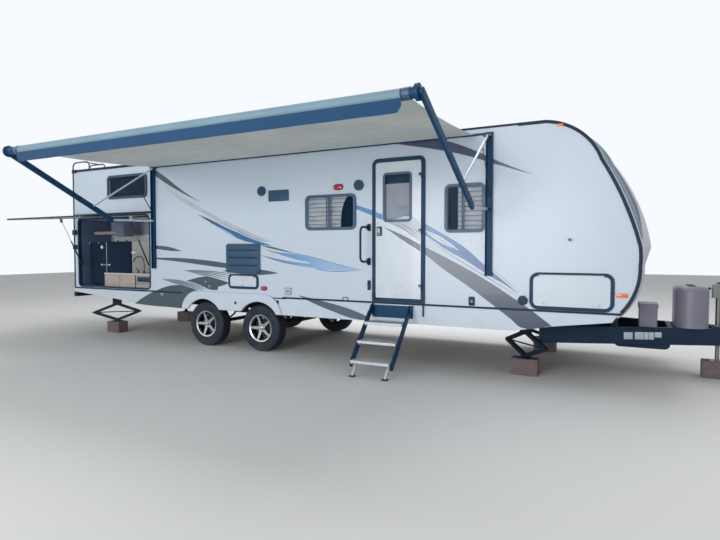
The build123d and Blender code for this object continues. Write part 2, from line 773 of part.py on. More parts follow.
# Entry door in its frame
with BuildPart() as entry_door_frame:
    jamb_outer = -door_band / 2 - fit
    extrude(door_shape(face(-1), 0) - door_shape(face(-1), -door_band), amount=door_flange)
    extrude(door_shape(face(-1), jamb_outer) - door_shape(face(-1), jamb_outer - jamb), amount=-wall)
    door_axis = (door_frame_front - door_band + 3, -half_width - door_flange - 14)
    for height in hinge_heights:
        with Locations((along(door_axis[0]), door_axis[1], height)):
            Cylinder(hinge_barrel, hinge_length / 2, align=(Align.CENTER, Align.CENTER, Align.MAX))
            Cylinder(hinge_pin, hinge_length - 8, align=(Align.CENTER, Align.CENTER, Align.CENTER))
            with Locations((hinge_barrel / 2, 7, 0)):
                Box(hinge_barrel, 14, hinge_length / 2, align=(Align.CENTER, Align.CENTER, Align.MAX))
leaf_gap = -door_band - door_gap
leaf_face = door_flange + 4
with BuildPart() as entry_door:
    extrude(door_shape(face(-1, leaf_face), leaf_gap), amount=-door_leaf_thickness)
    extrude(panel(face(-1, leaf_face), door_window, door_window_corner), amount=-door_leaf_thickness,
            mode=Mode.SUBTRACT)
    for height in hinge_heights:
        with Locations((along(door_axis[0]) - 20, -half_width - leaf_face, height + fit)):
            Box(40, 7, hinge_length / 2, align=(Align.CENTER, Align.MAX, Align.MIN))
        with Locations((along(door_axis[0]), door_axis[1], height + fit)):
            Cylinder(hinge_barrel, hinge_length / 2, align=(Align.CENTER, Align.CENTER, Align.MIN))
            Cylinder(hinge_pin + fit, hinge_length / 2, align=(Align.CENTER, Align.CENTER, Align.MIN),
                     mode=Mode.SUBTRACT)
    extrude(panel(face(-1, leaf_face), lock_plate, 12), amount=16)
    extrude(panel(face(-1, leaf_face), lock_dish, 10), amount=5, mode=Mode.SUBTRACT)
    with Locations((along(lock_lever[0]), -half_width - leaf_face - 16, lock_lever[1])):
        Box(58, 14, 22, align=(Align.CENTER, Align.MAX, Align.CENTER))
with BuildPart() as entry_door_glass:
    extrude(panel(face(-1, leaf_face - 8), door_window, door_window_corner, -fit), amount=-pane)

# Frames of the kitchen hatch, the storage doors and the service door, with their hinge pins
hatch_hinge = (-half_width - hatch_hinge_proud, kitchen_top + hatch_hinge_rise)
hatch_hinge_ends = (kitchen_rear + kitchen_corner, kitchen_front - kitchen_corner)


def hinge_line(box):
    return box[0] + box[4] + 10, box[1] - 2 * box[4] - 20, box[2] + box[3] - small_band + hinge_rise


with BuildPart() as hatch_frames:
    extrude(ring(face(-1), kitchen_box, kitchen_corner, kitchen_band, 0), amount=moulding_proud)
    extrude(ring(face(-1), kitchen_box, kitchen_corner, jamb - fit, 0), amount=-wall)
    for side, box in ((-1, storage_frame), (1, storage_frame), (-1, service_frame)):
        extrude(ring(face(side), box, box[4], 0, -small_band), amount=-side * small_proud)
        extrude(ring(face(side), box, box[4], -small_band / 2 - fit, -small_band / 2 - fit - jamb),
                amount=side * wall)
        start, length, height = hinge_line(box)
        pin_place = side * (half_width + small_proud + small_hinge_proud)
        with BuildSketch(Plane.YZ.offset(along(start) - lug)):
            with Locations((pin_place, height)):
                Circle(hinge_pin)
        extrude(amount=length + 2 * lug)
        for end in (start - lug - fit, start + length + fit):
            with BuildSketch(Plane.YZ.offset(along(end))):
                with Locations((side * (half_width + small_proud), height + 2)):
                    Rectangle(2 * small_hinge_proud + 8, 14)
                with Locations((side * half_width, height)):
                    Rectangle(2 * small_proud - 1, 200, mode=Mode.SUBTRACT)
            extrude(amount=lug)
    for end in (hatch_hinge_ends[0] - lug - fit, hatch_hinge_ends[1] + fit):
        with BuildSketch(Plane.YZ.offset(along(end))):
            with Locations((-half_width - fit, hatch_hinge[1])):
                Rectangle(hatch_hinge_proud - fit, 2 * hinge_barrel, align=(Align.MAX, Align.CENTER))
            with Locations(hatch_hinge):
                Circle(hinge_barrel)
        extrude(amount=lug)
    with BuildSketch(Plane.YZ.offset(along(hatch_hinge_ends[0]) - lug)):
        with Locations(hatch_hinge):
            Circle(hinge_pin)
    extrude(amount=hatch_hinge_ends[1] - hatch_hinge_ends[0] + 2 * lug)


# A top-hinged leaf in its frame, with its hinge barrel and two turn latches
def small_door(side, box):
    rear_edge, length, low, height, corner = box
    gap = -small_band - 5
    start, run, hinge_height = hinge_line(box)
    with BuildPart() as leaf:
        extrude(panel(face(side, small_proud + 2), box, corner, gap), amount=side * small_leaf)
        with BuildSketch(Plane.YZ.offset(along(start))):
            with Locations((side * (half_width + small_proud + small_hinge_proud), hinge_height)):
                Circle(6)
            with Locations((side * (half_width + small_proud + 4), hinge_height - 25)):
                Rectangle(8, 24)
            with Locations((side * (half_width + small_proud + 10), hinge_height - 7)):
                Rectangle(10, 14)
            with Locations((side * (half_width + small_proud + small_hinge_proud), hinge_height)):
                Circle(hinge_pin + fit, mode=Mode.SUBTRACT)
        extrude(amount=run)
        latch_low = low - gap + 24
        for place in (rear_edge + length * 0.25, rear_edge + length * 0.75):
            latch = (along(place), side * (half_width + small_proud + 2), latch_low)
            with Locations(Location(latch, (90, 0, 0))):
                Cylinder(15, 20)
    return leaf.part


storage_door_camp = small_door(-1, storage_frame)
storage_door_off = small_door(1, storage_frame)
service_door = small_door(-1, service_frame)

# Refrigerator vent: frame and slanted blades
with BuildPart() as refrigerator_vent:
    extrude(ring(face(-1), vent_box, vent_corner, 0, -vent_band), amount=vent_proud)
    extrude(panel(face(-1), vent_box, vent_corner, 4 - vent_band), amount=4)
    blade_pitch = (vent_box[3] - 2 * vent_band) / (vent_slots + 1)
    for i in range(vent_slots + 1):
        low = vent_box[2] + vent_band + i * blade_pitch
        with BuildSketch(Plane.YZ.offset(along(vent_box[0] + 30))):
            with BuildLine():
                Polyline((-half_width - 3, low + blade_pitch), (-half_width - 3, low + blade_pitch - 8),
                         (-half_width - 20, low + 6), (-half_width - 22, low + 6), (-half_width - 22, low + 18),
                         close=True)
            make_face()
        extrude(amount=vent_box[1] - 60)

# Outdoor kitchen: lining, worktop with drawers and tap, refrigerator
with BuildPart() as kitchen_liner:
    liner_box = (kitchen_rear, kitchen_front - kitchen_rear, kitchen_low, kitchen_top - kitchen_low)
    extrude(panel(face(-1, -wall - fit), liner_box, 2, 4 + kitchen_sheet), amount=-kitchen_depth)
    extrude(panel(face(-1, -wall - fit), liner_box, 2, 4), amount=-kitchen_depth + kitchen_sheet,
            mode=Mode.SUBTRACT)
liner_floor = kitchen_low - 4
counter_top = 1112
counter_front = -half_width + 54
with BuildPart() as kitchen_counter:
    counter_ends = (730, kitchen_front - 2)
    counter_depth = 480
    with Locations((along(counter_ends[0]), counter_front + 12, liner_floor + fit)):
        Box(counter_ends[1] - counter_ends[0], counter_depth - 12, counter_top - 24 - liner_floor - fit,
            align=(Align.MIN, Align.MIN, Align.MIN))
    with Locations((along(counter_ends[0]), counter_front, counter_top)):
        Box(counter_ends[1] - counter_ends[0], counter_depth, 24, align=(Align.MIN, Align.MIN, Align.MAX))
    drawers = [(755, 375, 900, 170), (1150, 375, 900, 170), (1556, 366, 880, 52)]
    for box in drawers:
        extrude(panel(Plane.XZ.offset(-counter_front - 12), box, 6), amount=10)
    with Locations((along(1740), counter_front + 12, 945)):
        Box(366, 300, 125, align=(Align.CENTER, Align.MIN, Align.MIN), mode=Mode.SUBTRACT)
    with Locations((along(1560), counter_front + 250, counter_top)):
        Box(340, 300, 130, align=(Align.CENTER, Align.CENTER, Align.MAX), mode=Mode.SUBTRACT)
with BuildPart() as kitchen_fittings:
    tap_place = (1560, counter_front + 430)
    with Locations((along(tap_place[0]), tap_place[1], counter_top)):
        Cylinder(26, 14, align=(Align.CENTER, Align.CENTER, Align.MIN))
    with BuildLine(Plane.YZ.offset(along(tap_place[0]))) as spout:
        Line((tap_place[1], counter_top + 8), (tap_place[1], counter_top + 230))
        ThreePointArc((tap_place[1], counter_top + 230), (tap_place[1] - 75, counter_top + 305),
                      (tap_place[1] - 150, counter_top + 230))
        Line((tap_place[1] - 150, counter_top + 230), (tap_place[1] - 150, counter_top + 200))
    with BuildSketch(Plane.XY.offset(counter_top + 8)):
        with Locations((along(tap_place[0]), tap_place[1])):
            Circle(12)
    sweep(path=spout.wire())
    with Locations((along(1740), counter_front + 22, 945 + fit)):
        Box(360, 280, 118, align=(Align.CENTER, Align.MIN, Align.MIN))
        with Locations((0, 0, 96)):
            Cylinder(9, 300, rotation=(0, 90, 0))
    with Locations((along(330), -half_width + wall + 120, 1800)):
        Box(560, kitchen_depth - kitchen_sheet - 120 + fit, 70, align=(Align.MIN, Align.MIN, Align.MIN))
with BuildPart() as refrigerator:
    fridge_front = -half_width + 112
    with Locations((along(275), fridge_front + 30, liner_floor + fit)):
        Box(450, 500, 800, align=(Align.MIN, Align.MIN, Align.MIN))
    with Locations((along(735), fridge_front + 30, counter_top + fit)):
        Box(620, 500, 800 + liner_floor - counter_top, align=(Align.MIN, Align.MIN, Align.MIN))
    with Locations((along(730), fridge_front + 100, 1400)):
        Box(10, 300, 300, align=(Align.CENTER, Align.MIN, Align.CENTER))
    for box in ((280, 440, liner_floor + 30, 765), (735, 615, counter_top + 8, 545)):
        extrude(panel(Plane.XZ.offset(-fridge_front - 30), box, 14), amount=28)

# Kitchen hatch, held up by two gas struts. Its plane turns about the hinge line.
hatch_lean = radians(hatch_angle)
hatch_plane = Plane(origin=(0, *hatch_hinge), x_dir=(1, 0, 0), z_dir=(0, -cos(hatch_lean), sin(hatch_lean)))
hatch_inner = hatch_hinge_proud - moulding_proud - hatch_seal
hatch_top_gap = 12
hatch_low = hatch_hinge[1] - (kitchen_low - hatch_lap)
strut_places = [kitchen_rear + strut_inset, kitchen_front - strut_inset]
with BuildPart() as kitchen_hatch:
    with BuildSketch(hatch_plane.offset(-hatch_inner)):
        with Locations((along((kitchen_rear + kitchen_front) / 2), -(hatch_low + hatch_top_gap) / 2)):
            RectangleRounded(kitchen_front - kitchen_rear + 2 * hatch_lap, hatch_low - hatch_top_gap,
                             kitchen_corner)
    extrude(amount=hatch_thickness)
    with BuildSketch(hatch_plane.offset(-hatch_inner)):
        with Locations((along((kitchen_rear + kitchen_front) / 2), -(hatch_low + hatch_top_gap) / 2)):
            RectangleRounded(kitchen_front - kitchen_rear - 60, hatch_low - hatch_top_gap - 100, kitchen_corner)
    extrude(amount=8, mode=Mode.SUBTRACT)
    with BuildSketch(hatch_plane.offset(-3)):
        with Locations((along((kitchen_rear + kitchen_front) / 2), -8)):
            Rectangle(hatch_hinge_ends[1] - hatch_hinge_ends[0], 16)
    extrude(amount=6)
    for radius, kind in ((hinge_barrel, Mode.ADD), (hinge_pin + fit, Mode.SUBTRACT)):
        with BuildSketch(Plane.YZ.offset(along(hatch_hinge_ends[0]))):
            with Locations(hatch_hinge):
                Circle(radius)
        extrude(amount=hatch_hinge_ends[1] - hatch_hinge_ends[0], mode=kind)
    for place, inward in zip(strut_places, (1, -1)):
        with BuildSketch(hatch_plane.offset(-strut_drop - 10)):
            with Locations((along(place) - inward * 22, -strut_reach)):
                Rectangle(12, 46)
        extrude(amount=strut_drop + 10 - hatch_inner + 8)
strut_base = (-half_width + strut_base_in, strut_base_height)
strut_top = (hatch_hinge[0] - strut_reach * sin(hatch_lean) + strut_drop * cos(hatch_lean),
             hatch_hinge[1] - strut_reach * cos(hatch_lean) - strut_drop * sin(hatch_lean))
strut_run = hypot(strut_top[0] - strut_base[0], strut_top[1] - strut_base[1])
strut_turn = degrees(atan2(strut_top[1] - strut_base[1], strut_top[0] - strut_base[0]))
with BuildPart() as hatch_strut_cylinders:
    for place in strut_places:
        base = Plane(origin=(along(place), *strut_base), x_dir=(1, 0, 0),
                     z_dir=(0, cos(radians(strut_turn)), sin(radians(strut_turn))))
        with BuildSketch(base.offset(10)):
            Circle(strut_cylinder_radius)
        extrude(amount=strut_cylinder - 10)
        with BuildSketch(base.offset(34)):
            Circle(strut_rod_radius + fit)
        extrude(amount=strut_cylinder, mode=Mode.SUBTRACT)
        with BuildSketch(Plane.YZ.offset(along(place))):
            with Locations(strut_base):
                Circle(strut_eye)
        extrude(amount=6, both=True)
        with BuildSketch(Plane.YZ.offset(along(place))):
            with Locations(strut_base):
                Circle(4 + fit)
        extrude(amount=20, both=True, mode=Mode.SUBTRACT)
with BuildPart() as hatch_strut_rods:
    for place in strut_places:
        base = Plane(origin=(along(place), *strut_base), x_dir=(1, 0, 0),
                     z_dir=(0, cos(radians(strut_turn)), sin(radians(strut_turn))))
        with BuildSketch(base.offset(strut_cylinder - strut_rod_tail)):
            Circle(strut_rod_radius)
        extrude(amount=strut_run - strut_cylinder + strut_rod_tail - 6)
        with BuildSketch(Plane.YZ.offset(along(place))):
            with Locations(strut_top):
                Circle(strut_eye)
        extrude(amount=5, both=True)
        with BuildSketch(Plane.YZ.offset(along(place))):
            with Locations(strut_top):
                Circle(4 + fit)
        extrude(amount=20, both=True, mode=Mode.SUBTRACT)

# Awning: wall channels and rail, folding arms with their links, roller, cloth and valance
arm_sides = list(zip(awning_arm_places, (1, -1)))
channel_inside = channel_width - 12
with BuildPart() as awning_channels:
    for place in awning_arm_places:
        with Locations((along(place), -half_width, channel_low)):
            Box(channel_width, channel_depth, awning_rail_height - channel_low,
                align=(Align.CENTER, Align.MAX, Align.MIN))
        with Locations((along(place), -half_width - channel_back, channel_low - 10)):
            Box(channel_inside, channel_depth, awning_rail_height - channel_low + 30,
                align=(Align.CENTER, Align.MAX, Align.MIN), mode=Mode.SUBTRACT)
        with BuildSketch(Plane.YZ.offset(along(place))):
            with Locations(link_root, strut_root, brace_root):
                Circle(joint_pin)
        extrude(amount=channel_width / 2, both=True)
    rail_length = awning_arm_places[1] - awning_arm_places[0] - channel_width - 2 * fit
    with Locations((along(sum(awning_arm_places) / 2), -half_width, awning_rail_height - 14)):
        Box(rail_length, 18, 26, align=(Align.CENTER, Align.MAX, Align.CENTER))
pin_bore = joint_pin + fit
with BuildPart() as awning_arms:
    for place, inward in arm_sides:
        centre = place - inward * 10
        extrude(link_shape(along(centre), roller_centre, arm_elbow, arm_width), amount=arm_thickness / 2,
                both=True)
        with BuildSketch(Plane.YZ.offset(along(centre))):
            with Locations(roller_centre):
                Circle(16 + fit)
        extrude(amount=arm_thickness, both=True, mode=Mode.SUBTRACT)
        with BuildSketch(Plane.YZ.offset(along(centre))):
            with Locations(arm_elbow, strut_meet):
                Circle(joint_pin)
        extrude(amount=inward * 46)
with BuildPart() as awning_links:
    for place, inward in arm_sides:
        centre = place + inward * 18
        for start, end in ((link_root, arm_elbow), (strut_root, strut_meet)):
            extrude(link_shape(along(centre), start, end, link_width), amount=link_thickness / 2, both=True)
        with BuildSketch(Plane.YZ.offset(along(centre))):
            with Locations(link_root, arm_elbow, strut_root, strut_meet):
                Circle(pin_bore)
        extrude(amount=link_thickness, both=True, mode=Mode.SUBTRACT)
        with BuildSketch(Plane.YZ.offset(along(centre))):
            with Locations(brace_top):
                Circle(joint_pin)
        extrude(amount=-inward * 46)
        centre = place - inward * 14
        extrude(link_shape(along(centre), brace_root, brace_top, 2 * brace_radius), amount=brace_radius,
                both=True)
        for end in (brace_root, brace_top):
            with BuildSketch(Plane.YZ.offset(along(centre))):
                with Locations(end):
                    Circle(joint_pin + 7)
            extrude(amount=brace_radius, both=True)
        with BuildSketch(Plane.YZ.offset(along(centre))):
            with Locations(brace_root, brace_top):
                Circle(pin_bore)
        extrude(amount=2 * brace_radius, both=True, mode=Mode.SUBTRACT)
roller_gap = arm_thickness / 2 - 10 + fit
with BuildPart() as awning_roller:
    for place, inward in arm_sides:
        with BuildSketch(Plane.YZ.offset(along(place) + inward * roller_gap)):
            with Locations(roller_centre):
                Circle(roller_end)
        extrude(amount=inward * 30)
        with BuildSketch(Plane.YZ.offset(along(place) + inward * roller_gap)):
            with Locations(roller_centre):
                Circle(16)
        extrude(amount=-inward * (arm_thickness + 4))
    with BuildSketch(Plane.YZ.offset(along(awning_arm_places[0]) + roller_gap + 20)):
        with Locations(roller_centre):
            Circle(roller_radius)
    extrude(amount=awning_arm_places[1] - awning_arm_places[0] - 2 * roller_gap - 40)
rail_edge = (-half_width - 18 - fit, awning_rail_height - 14)
roller_edge = (roller_centre[0], roller_centre[1] + roller_radius + fit)
with BuildPart() as awning_canopy:
    with BuildSketch(Plane.YZ.offset(along(canopy_ends[0]))):
        with BuildLine():
            middle = ((rail_edge[0] + roller_edge[0]) / 2, (rail_edge[1] + roller_edge[1]) / 2 - canopy_sag)
            low_edge = (rail_edge, middle, roller_edge)
            high_edge = [(place, height + canopy_thickness) for place, height in low_edge]
            ThreePointArc(*low_edge)
            Line(roller_edge, high_edge[2])
            ThreePointArc(*high_edge)
            Line(high_edge[0], rail_edge)
        make_face()
    extrude(amount=canopy_ends[1] - canopy_ends[0])
with BuildPart() as awning_valance:
    with Locations((along(valance_ends[0]), roller_centre[0] - roller_radius - fit, roller_centre[1] + 6)):
        Box(valance_ends[1] - valance_ends[0], canopy_thickness, valance_drop + 6,
            align=(Align.MIN, Align.MAX, Align.MAX))

# Entry stair: sill bracket, side arms and level treads with legs under the lowest
stair_centre = stair_rear + stair_width / 2
tread_half = stair_width / 2 - 25
arm_inner = tread_half + 6
arm_outer = arm_inner + stair_plate
cheek_inner = arm_outer + 6
tread_pivots = [(sill_pivot[0] - tread_run * i, sill_pivot[1] - tread_rise * i)
                for i in range(1, tread_count + 1)]
with BuildPart() as stair_sill:
    with Locations((along(stair_centre), -half_width - fit, belt_height - 24)):
        Box(2 * (cheek_inner + stair_plate), 10, 160, align=(Align.CENTER, Align.MAX, Align.MAX))
    for side in (-1, 1):
        with BuildSketch(Plane.YZ.offset(along(stair_centre) + side * cheek_inner)):
            with BuildLine():
                Polyline((-half_width - fit, belt_height - 14), (sill_pivot[0] - 20, belt_height - 22),
                         (sill_pivot[0] - 34, sill_pivot[1] - 30), (-half_width - fit, belt_height - 184),
                         close=True)
            make_face()
        extrude(amount=side * stair_plate)
        with BuildSketch(Plane.YZ.offset(along(stair_centre) + side * cheek_inner)):
            with Locations(sill_pivot):
                Circle(pin_radius)
        extrude(amount=-side * (cheek_inner - arm_inner + 2))
with BuildPart() as stair_arms:
    for side in (-1, 1):
        arm_place = along(stair_centre) + side * arm_inner
        extrude(link_shape(arm_place, sill_pivot, tread_pivots[-1], stair_plate_width), amount=side * stair_plate)
        with BuildSketch(Plane.YZ.offset(arm_place)):
            with Locations(sill_pivot, *tread_pivots):
                Circle(pin_radius + fit)
        extrude(amount=side * stair_plate, mode=Mode.SUBTRACT)
stair_treads = []
for i, pivot in enumerate(tread_pivots):
    with BuildPart() as tread:
        with BuildSketch(Plane.YZ.offset(along(stair_centre) - tread_half)):
            with Locations((pivot[0] - tread_nose, pivot[1] + pivot_drop)):
                RectangleRounded(tread_depth, tread_thickness, 6, align=(Align.MIN, Align.MAX))
        extrude(amount=2 * tread_half)
        for side in (-1, 1):
            with BuildSketch(Plane.YZ.offset(along(stair_centre) + side * (arm_inner - 1))):
                with Locations(pivot):
                    Circle(18)
                with Locations((pivot[0], pivot[1] + 16)):
                    Rectangle(36, 32)
            extrude(amount=-side * 10)
            with BuildSketch(Plane.YZ.offset(along(stair_centre) + side * (arm_inner - 4))):
                with Locations(pivot):
                    Circle(pin_radius)
            extrude(amount=side * (stair_plate + 6))
        if i == tread_count - 1:
            for side in (-1, 1):
                leg_top = pivot[1] + pivot_drop - tread_thickness
                leg_side = along(stair_centre) + side * (tread_half - 40)
                leg_edge = pivot[0] + 30
                with BuildSketch(Plane.YZ.offset(leg_side)):
                    with BuildLine():
                        Polyline((leg_edge, leg_top), (leg_edge + leg_size, leg_top),
                                 (leg_edge + leg_size - leg_lean, 0), (leg_edge - leg_lean, 0), close=True)
                    make_face()
                extrude(amount=leg_size / 2, both=True)
                with Locations((leg_side, leg_edge + leg_size / 2 - leg_lean, 0)):
                    Box(leg_foot, leg_foot, 10, align=(Align.CENTER, Align.CENTER, Align.MIN))
    stair_treads.append(tread)

# Folding grab handle, its brackets and those of the gas struts
grab_axis = (along(grab_place), -half_width - grab_stand)
with BuildPart() as grab_handle:
    low, high = grab_heights
    bar_low, bar_high = low + 16, high - 16
    with BuildLine(Plane.YZ.offset(grab_axis[0])) as grab_path:
        FilletPolyline((grab_axis[1], bar_low), (grab_axis[1] - grab_reach, bar_low),
                       (grab_axis[1] - grab_reach, bar_high), (grab_axis[1], bar_high), radius=70)
    with BuildSketch(Plane.XZ.offset(-grab_axis[1])):
        with Locations((grab_axis[0], bar_low)):
            Circle(grab_radius)
    sweep(path=grab_path.wire())
    for height in (bar_low, bar_high):
        with Locations((*grab_axis, height)):
            Cylinder(grab_radius + 2, 40)
            Cylinder(pin_radius + fit, 60, mode=Mode.SUBTRACT)
with BuildPart() as wall_brackets:
    for height in (grab_heights[0] + 16, grab_heights[1] - 16):
        with Locations((grab_axis[0], -half_width, height)):
            Box(44, 6, 96, align=(Align.CENTER, Align.MAX, Align.CENTER))
        for side in (-1, 1):
            with Locations((grab_axis[0], -half_width - 3, height + side * 29)):
                Box(36, grab_stand + 12, 8, align=(Align.CENTER, Align.MAX, Align.CENTER))
        with Locations((*grab_axis, height)):
            Cylinder(pin_radius, 60)
    for place, inward in zip(strut_places, (1, -1)):
        with BuildSketch(Plane.YZ.offset(along(place - inward * (strut_inset - fit)))):
            with Locations((strut_base[0] + 12, strut_base[1])):
                RectangleRounded(46, 70, 8)
        extrude(amount=inward * 8)
        with BuildSketch(Plane.YZ.offset(along(place - inward * (strut_inset - fit)))):
            with Locations(strut_base):
                Circle(4)
        extrude(amount=inward * (strut_inset + 8))

# Ladder up the rear wall and over the roof edge
roof_radius = (inner_half ** 2 + roof_crown ** 2) / (2 * roof_crown)


def roof_height(place):
    return eaves_height + roof_crown - roof_radius + (roof_radius ** 2 - place ** 2) ** 0.5


with BuildPart() as rear_ladder:
    for rail in ladder_rails:
        foot = roof_height(rail) + 1
        with BuildLine(Plane.XZ.offset(-rail)) as ladder_path:
            FilletPolyline((along(-ladder_stand), ladder_low), (along(-ladder_stand), ladder_top),
                           (along(ladder_foot), ladder_top), (along(ladder_foot), foot), radius=90)
        with BuildSketch(Plane.XY.offset(ladder_low)):
            with Locations((along(-ladder_stand), rail)):
                Circle(ladder_radius)
        sweep(path=ladder_path.wire())
        for height in (ladder_low + 60, 1750, 2800):
            with Locations((along(-fit), rail, height)):
                Box(ladder_stand - fit, 22, 22, align=(Align.MAX, Align.CENTER, Align.CENTER))
                Box(4, 60, 60, align=(Align.MAX, Align.CENTER, Align.CENTER))
    rung_count = int((eaves_height - ladder_low) // rung_step)
    for i in range(rung_count):
        rung_height = ladder_low + 100 + i * rung_step
        with Locations(Location((along(-ladder_stand), sum(ladder_rails) / 2, rung_height), (90, 0, 0))):
            Cylinder(ladder_radius - 2, ladder_rails[1] - ladder_rails[0])
    with Locations(Location((along(ladder_foot - 150), sum(ladder_rails) / 2, ladder_top), (90, 0, 0))):
        Cylinder(ladder_radius - 2, ladder_rails[1] - ladder_rails[0])

# Roof: air conditioner and vent lids
with BuildPart() as roof_units:
    start, length, width, height = air_conditioner
    with BuildSketch(Plane.XZ) as shroud:
        with BuildLine():
            roof_top = eaves_height + roof_crown + fit
            Polyline((along(start), roof_top), (along(start + 60), roof_top + height - 30),
                     (along(start + 130), roof_top + height), (along(start + length - 330), roof_top + height),
                     (along(start + length - 60), roof_top + height * 0.55), (along(start + length), roof_top),
                     close=True)
        make_face()
    extrude(amount=width / 2, both=True)
    fillet(roof_units.edges().filter_by(Axis.Y).group_by(Axis.Z)[-1], 40)
    fillet(roof_units.faces().sort_by(Axis.Z)[-1].edges(), 25)
    for place in roof_vent_places:
        with Locations((along(place), 0, eaves_height + roof_crown + fit)):
            Box(roof_vent_size, roof_vent_size, 45, align=(Align.CENTER, Align.CENTER, Align.MIN))
        with BuildSketch(Plane.XY.offset(eaves_height + roof_crown + fit + 45)):
            with Locations((along(place), 0)):
                RectangleRounded(roof_vent_size + 30, roof_vent_size + 30, 30)
        extrude(amount=40, taper=18)

# Small fittings on the walls: distance from the rear wall, height, width, height of the piece, proud
round_fittings = [(4300, 2378, 70, 22), (5902, 2376, 70, 22), (8034, 934, 50, 20), (8525, 1630, 16, 34)]
oval_fittings = [(4330, 953, 104, 60, 18), (5590, 2368, 140, 78, 20), (9050, 1031, 118, 44, 16)]
square_fittings = [(4762, 926, 98, 98, 22), (4600, 2300, 350, 160, 12)]
rear_lamp_height = 1120
rear_lamp_size = (150, 240)
off_round = [(2100, 1000, 60, 20), (5700, 1040, 60, 20), (8534, 1630, 16, 34)]
with BuildPart() as wall_fittings:
    for side, rounds in ((-1, round_fittings), (1, off_round)):
        for place, height, radius, proud in rounds:
            with BuildSketch(face(side)):
                with Locations((along(place), height)):
                    Circle(radius)
            extrude(amount=-side * proud)
    for side in (-1, 1):
        for place, height, width, tall, proud in oval_fittings:
            with BuildSketch(face(side)):
                with Locations((along(place), height)):
                    SlotOverall(width, tall)
            extrude(amount=-side * proud)
    for place, height, width, tall, proud in square_fittings:
        with BuildSketch(face(-1)):
            with Locations((along(place), height)):
                RectangleRounded(width, tall, 10)
        extrude(amount=proud)
    for side in (-1, 1):
        with BuildSketch(Plane.YZ.offset(along(0) - fit)):
            with Locations((side * (half_width - 235), rear_lamp_height)):
                RectangleRounded(*rear_lamp_size, 30)
        extrude(amount=-30)

pieces = {
    "side_wall_camp": side_wall_camp, "side_wall_off": side_wall_off, "rear_wall": rear_wall, "roof": roof,
    "front_cap": front_cap, "floor": floor, "skirts": skirts, "fenders": fenders, "corner_trims": corner_trims,
    "chassis_frame": chassis_frame, "a_frame": a_frame, "coupler": coupler, "tongue_jack": tongue_jack,
    "gas_bottle_cover": gas_bottle_cover, "battery_box": battery_box, "stabilizer_jacks": stabilizer_jacks,
    "support_blocks": support_blocks, "running_gear": running_gear,
    "window_frames": window_frames, "window_panes": window_panes, "window_blinds": window_blinds,
    "entry_door_frame": entry_door_frame, "entry_door": entry_door, "entry_door_glass": entry_door_glass,
    "hatch_frames": hatch_frames, "refrigerator_vent": refrigerator_vent,
    "kitchen_liner": kitchen_liner, "kitchen_counter": kitchen_counter, "kitchen_fittings": kitchen_fittings,
    "refrigerator": refrigerator,
    "kitchen_hatch": kitchen_hatch, "hatch_strut_cylinders": hatch_strut_cylinders,
    "hatch_strut_rods": hatch_strut_rods,
    "awning_channels": awning_channels, "awning_arms": awning_arms, "awning_links": awning_links,
    "awning_roller": awning_roller, "awning_canopy": awning_canopy,
    "awning_valance": awning_valance, "stair_sill": stair_sill, "stair_arms": stair_arms,
    "tread_upper": stair_treads[0], "tread_middle": stair_treads[1], "tread_lower": stair_treads[2],
    "grab_handle": grab_handle, "rear_ladder": rear_ladder,
    "wall_brackets": wall_brackets, "roof_units": roof_units,
    "wall_fittings": wall_fittings,
}
for name, piece in pieces.items():
    piece.part.label = name
    export_step(piece.part, f"parts/{name}.step")
for name, solid in {**wheel_nodes, "storage_door_camp": storage_door_camp, "storage_door_off": storage_door_off,
                    "service_door": service_door}.items():
    solid.label = name
    export_step(solid, f"parts/{name}.step")
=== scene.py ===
import math
import bmesh
import bpy
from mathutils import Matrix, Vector


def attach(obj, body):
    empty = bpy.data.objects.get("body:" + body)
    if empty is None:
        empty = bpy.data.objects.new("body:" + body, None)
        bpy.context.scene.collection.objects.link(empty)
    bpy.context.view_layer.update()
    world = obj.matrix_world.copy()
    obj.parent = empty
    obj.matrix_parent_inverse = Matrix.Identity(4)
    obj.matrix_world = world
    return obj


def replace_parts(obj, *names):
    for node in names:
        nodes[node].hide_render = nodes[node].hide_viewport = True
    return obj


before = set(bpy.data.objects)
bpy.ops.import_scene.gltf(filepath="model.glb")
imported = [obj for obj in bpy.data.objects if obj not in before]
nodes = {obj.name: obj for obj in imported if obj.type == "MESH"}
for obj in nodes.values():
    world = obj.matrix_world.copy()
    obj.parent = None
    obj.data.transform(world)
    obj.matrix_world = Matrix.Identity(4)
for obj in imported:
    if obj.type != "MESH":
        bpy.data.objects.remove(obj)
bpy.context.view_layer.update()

scene = bpy.context.scene
halfWidth = 1.22                     # outer faces of the side walls
campWall = -halfWidth


# modelling helpers

def editing(on):
    bpy.ops.object.mode_set(mode="EDIT" if on else "OBJECT")


def clearSelection():
    if bpy.context.mode != "OBJECT":
        editing(False)
    bpy.ops.object.select_all(action="DESELECT")


def pick(*pieces):
    clearSelection()
    for piece in pieces:
        piece.select_set(True)
    bpy.context.view_layer.objects.active = pieces[0]
    return pieces[0]


def bake(piece):         # place, turn and scale go into the mesh
    pick(piece)
    bpy.ops.object.transform_apply(location=True, rotation=True, scale=True)
    return piece


def modify(piece, kind, **settings):
    modifier = piece.modifiers.new(kind.capitalize(), kind)
    for key, value in settings.items():
        setattr(modifier, key, value)
    pick(piece)
    bpy.ops.object.modifier_apply(modifier=modifier.name)
    return piece


def soften(piece, width, segments=2, angle=30):      # rounds the edges sharper than the angle
    if width:
        modify(piece, "BEVEL", width=width, segments=segments, limit_method="ANGLE",
               angle_limit=math.radians(angle))
    return piece


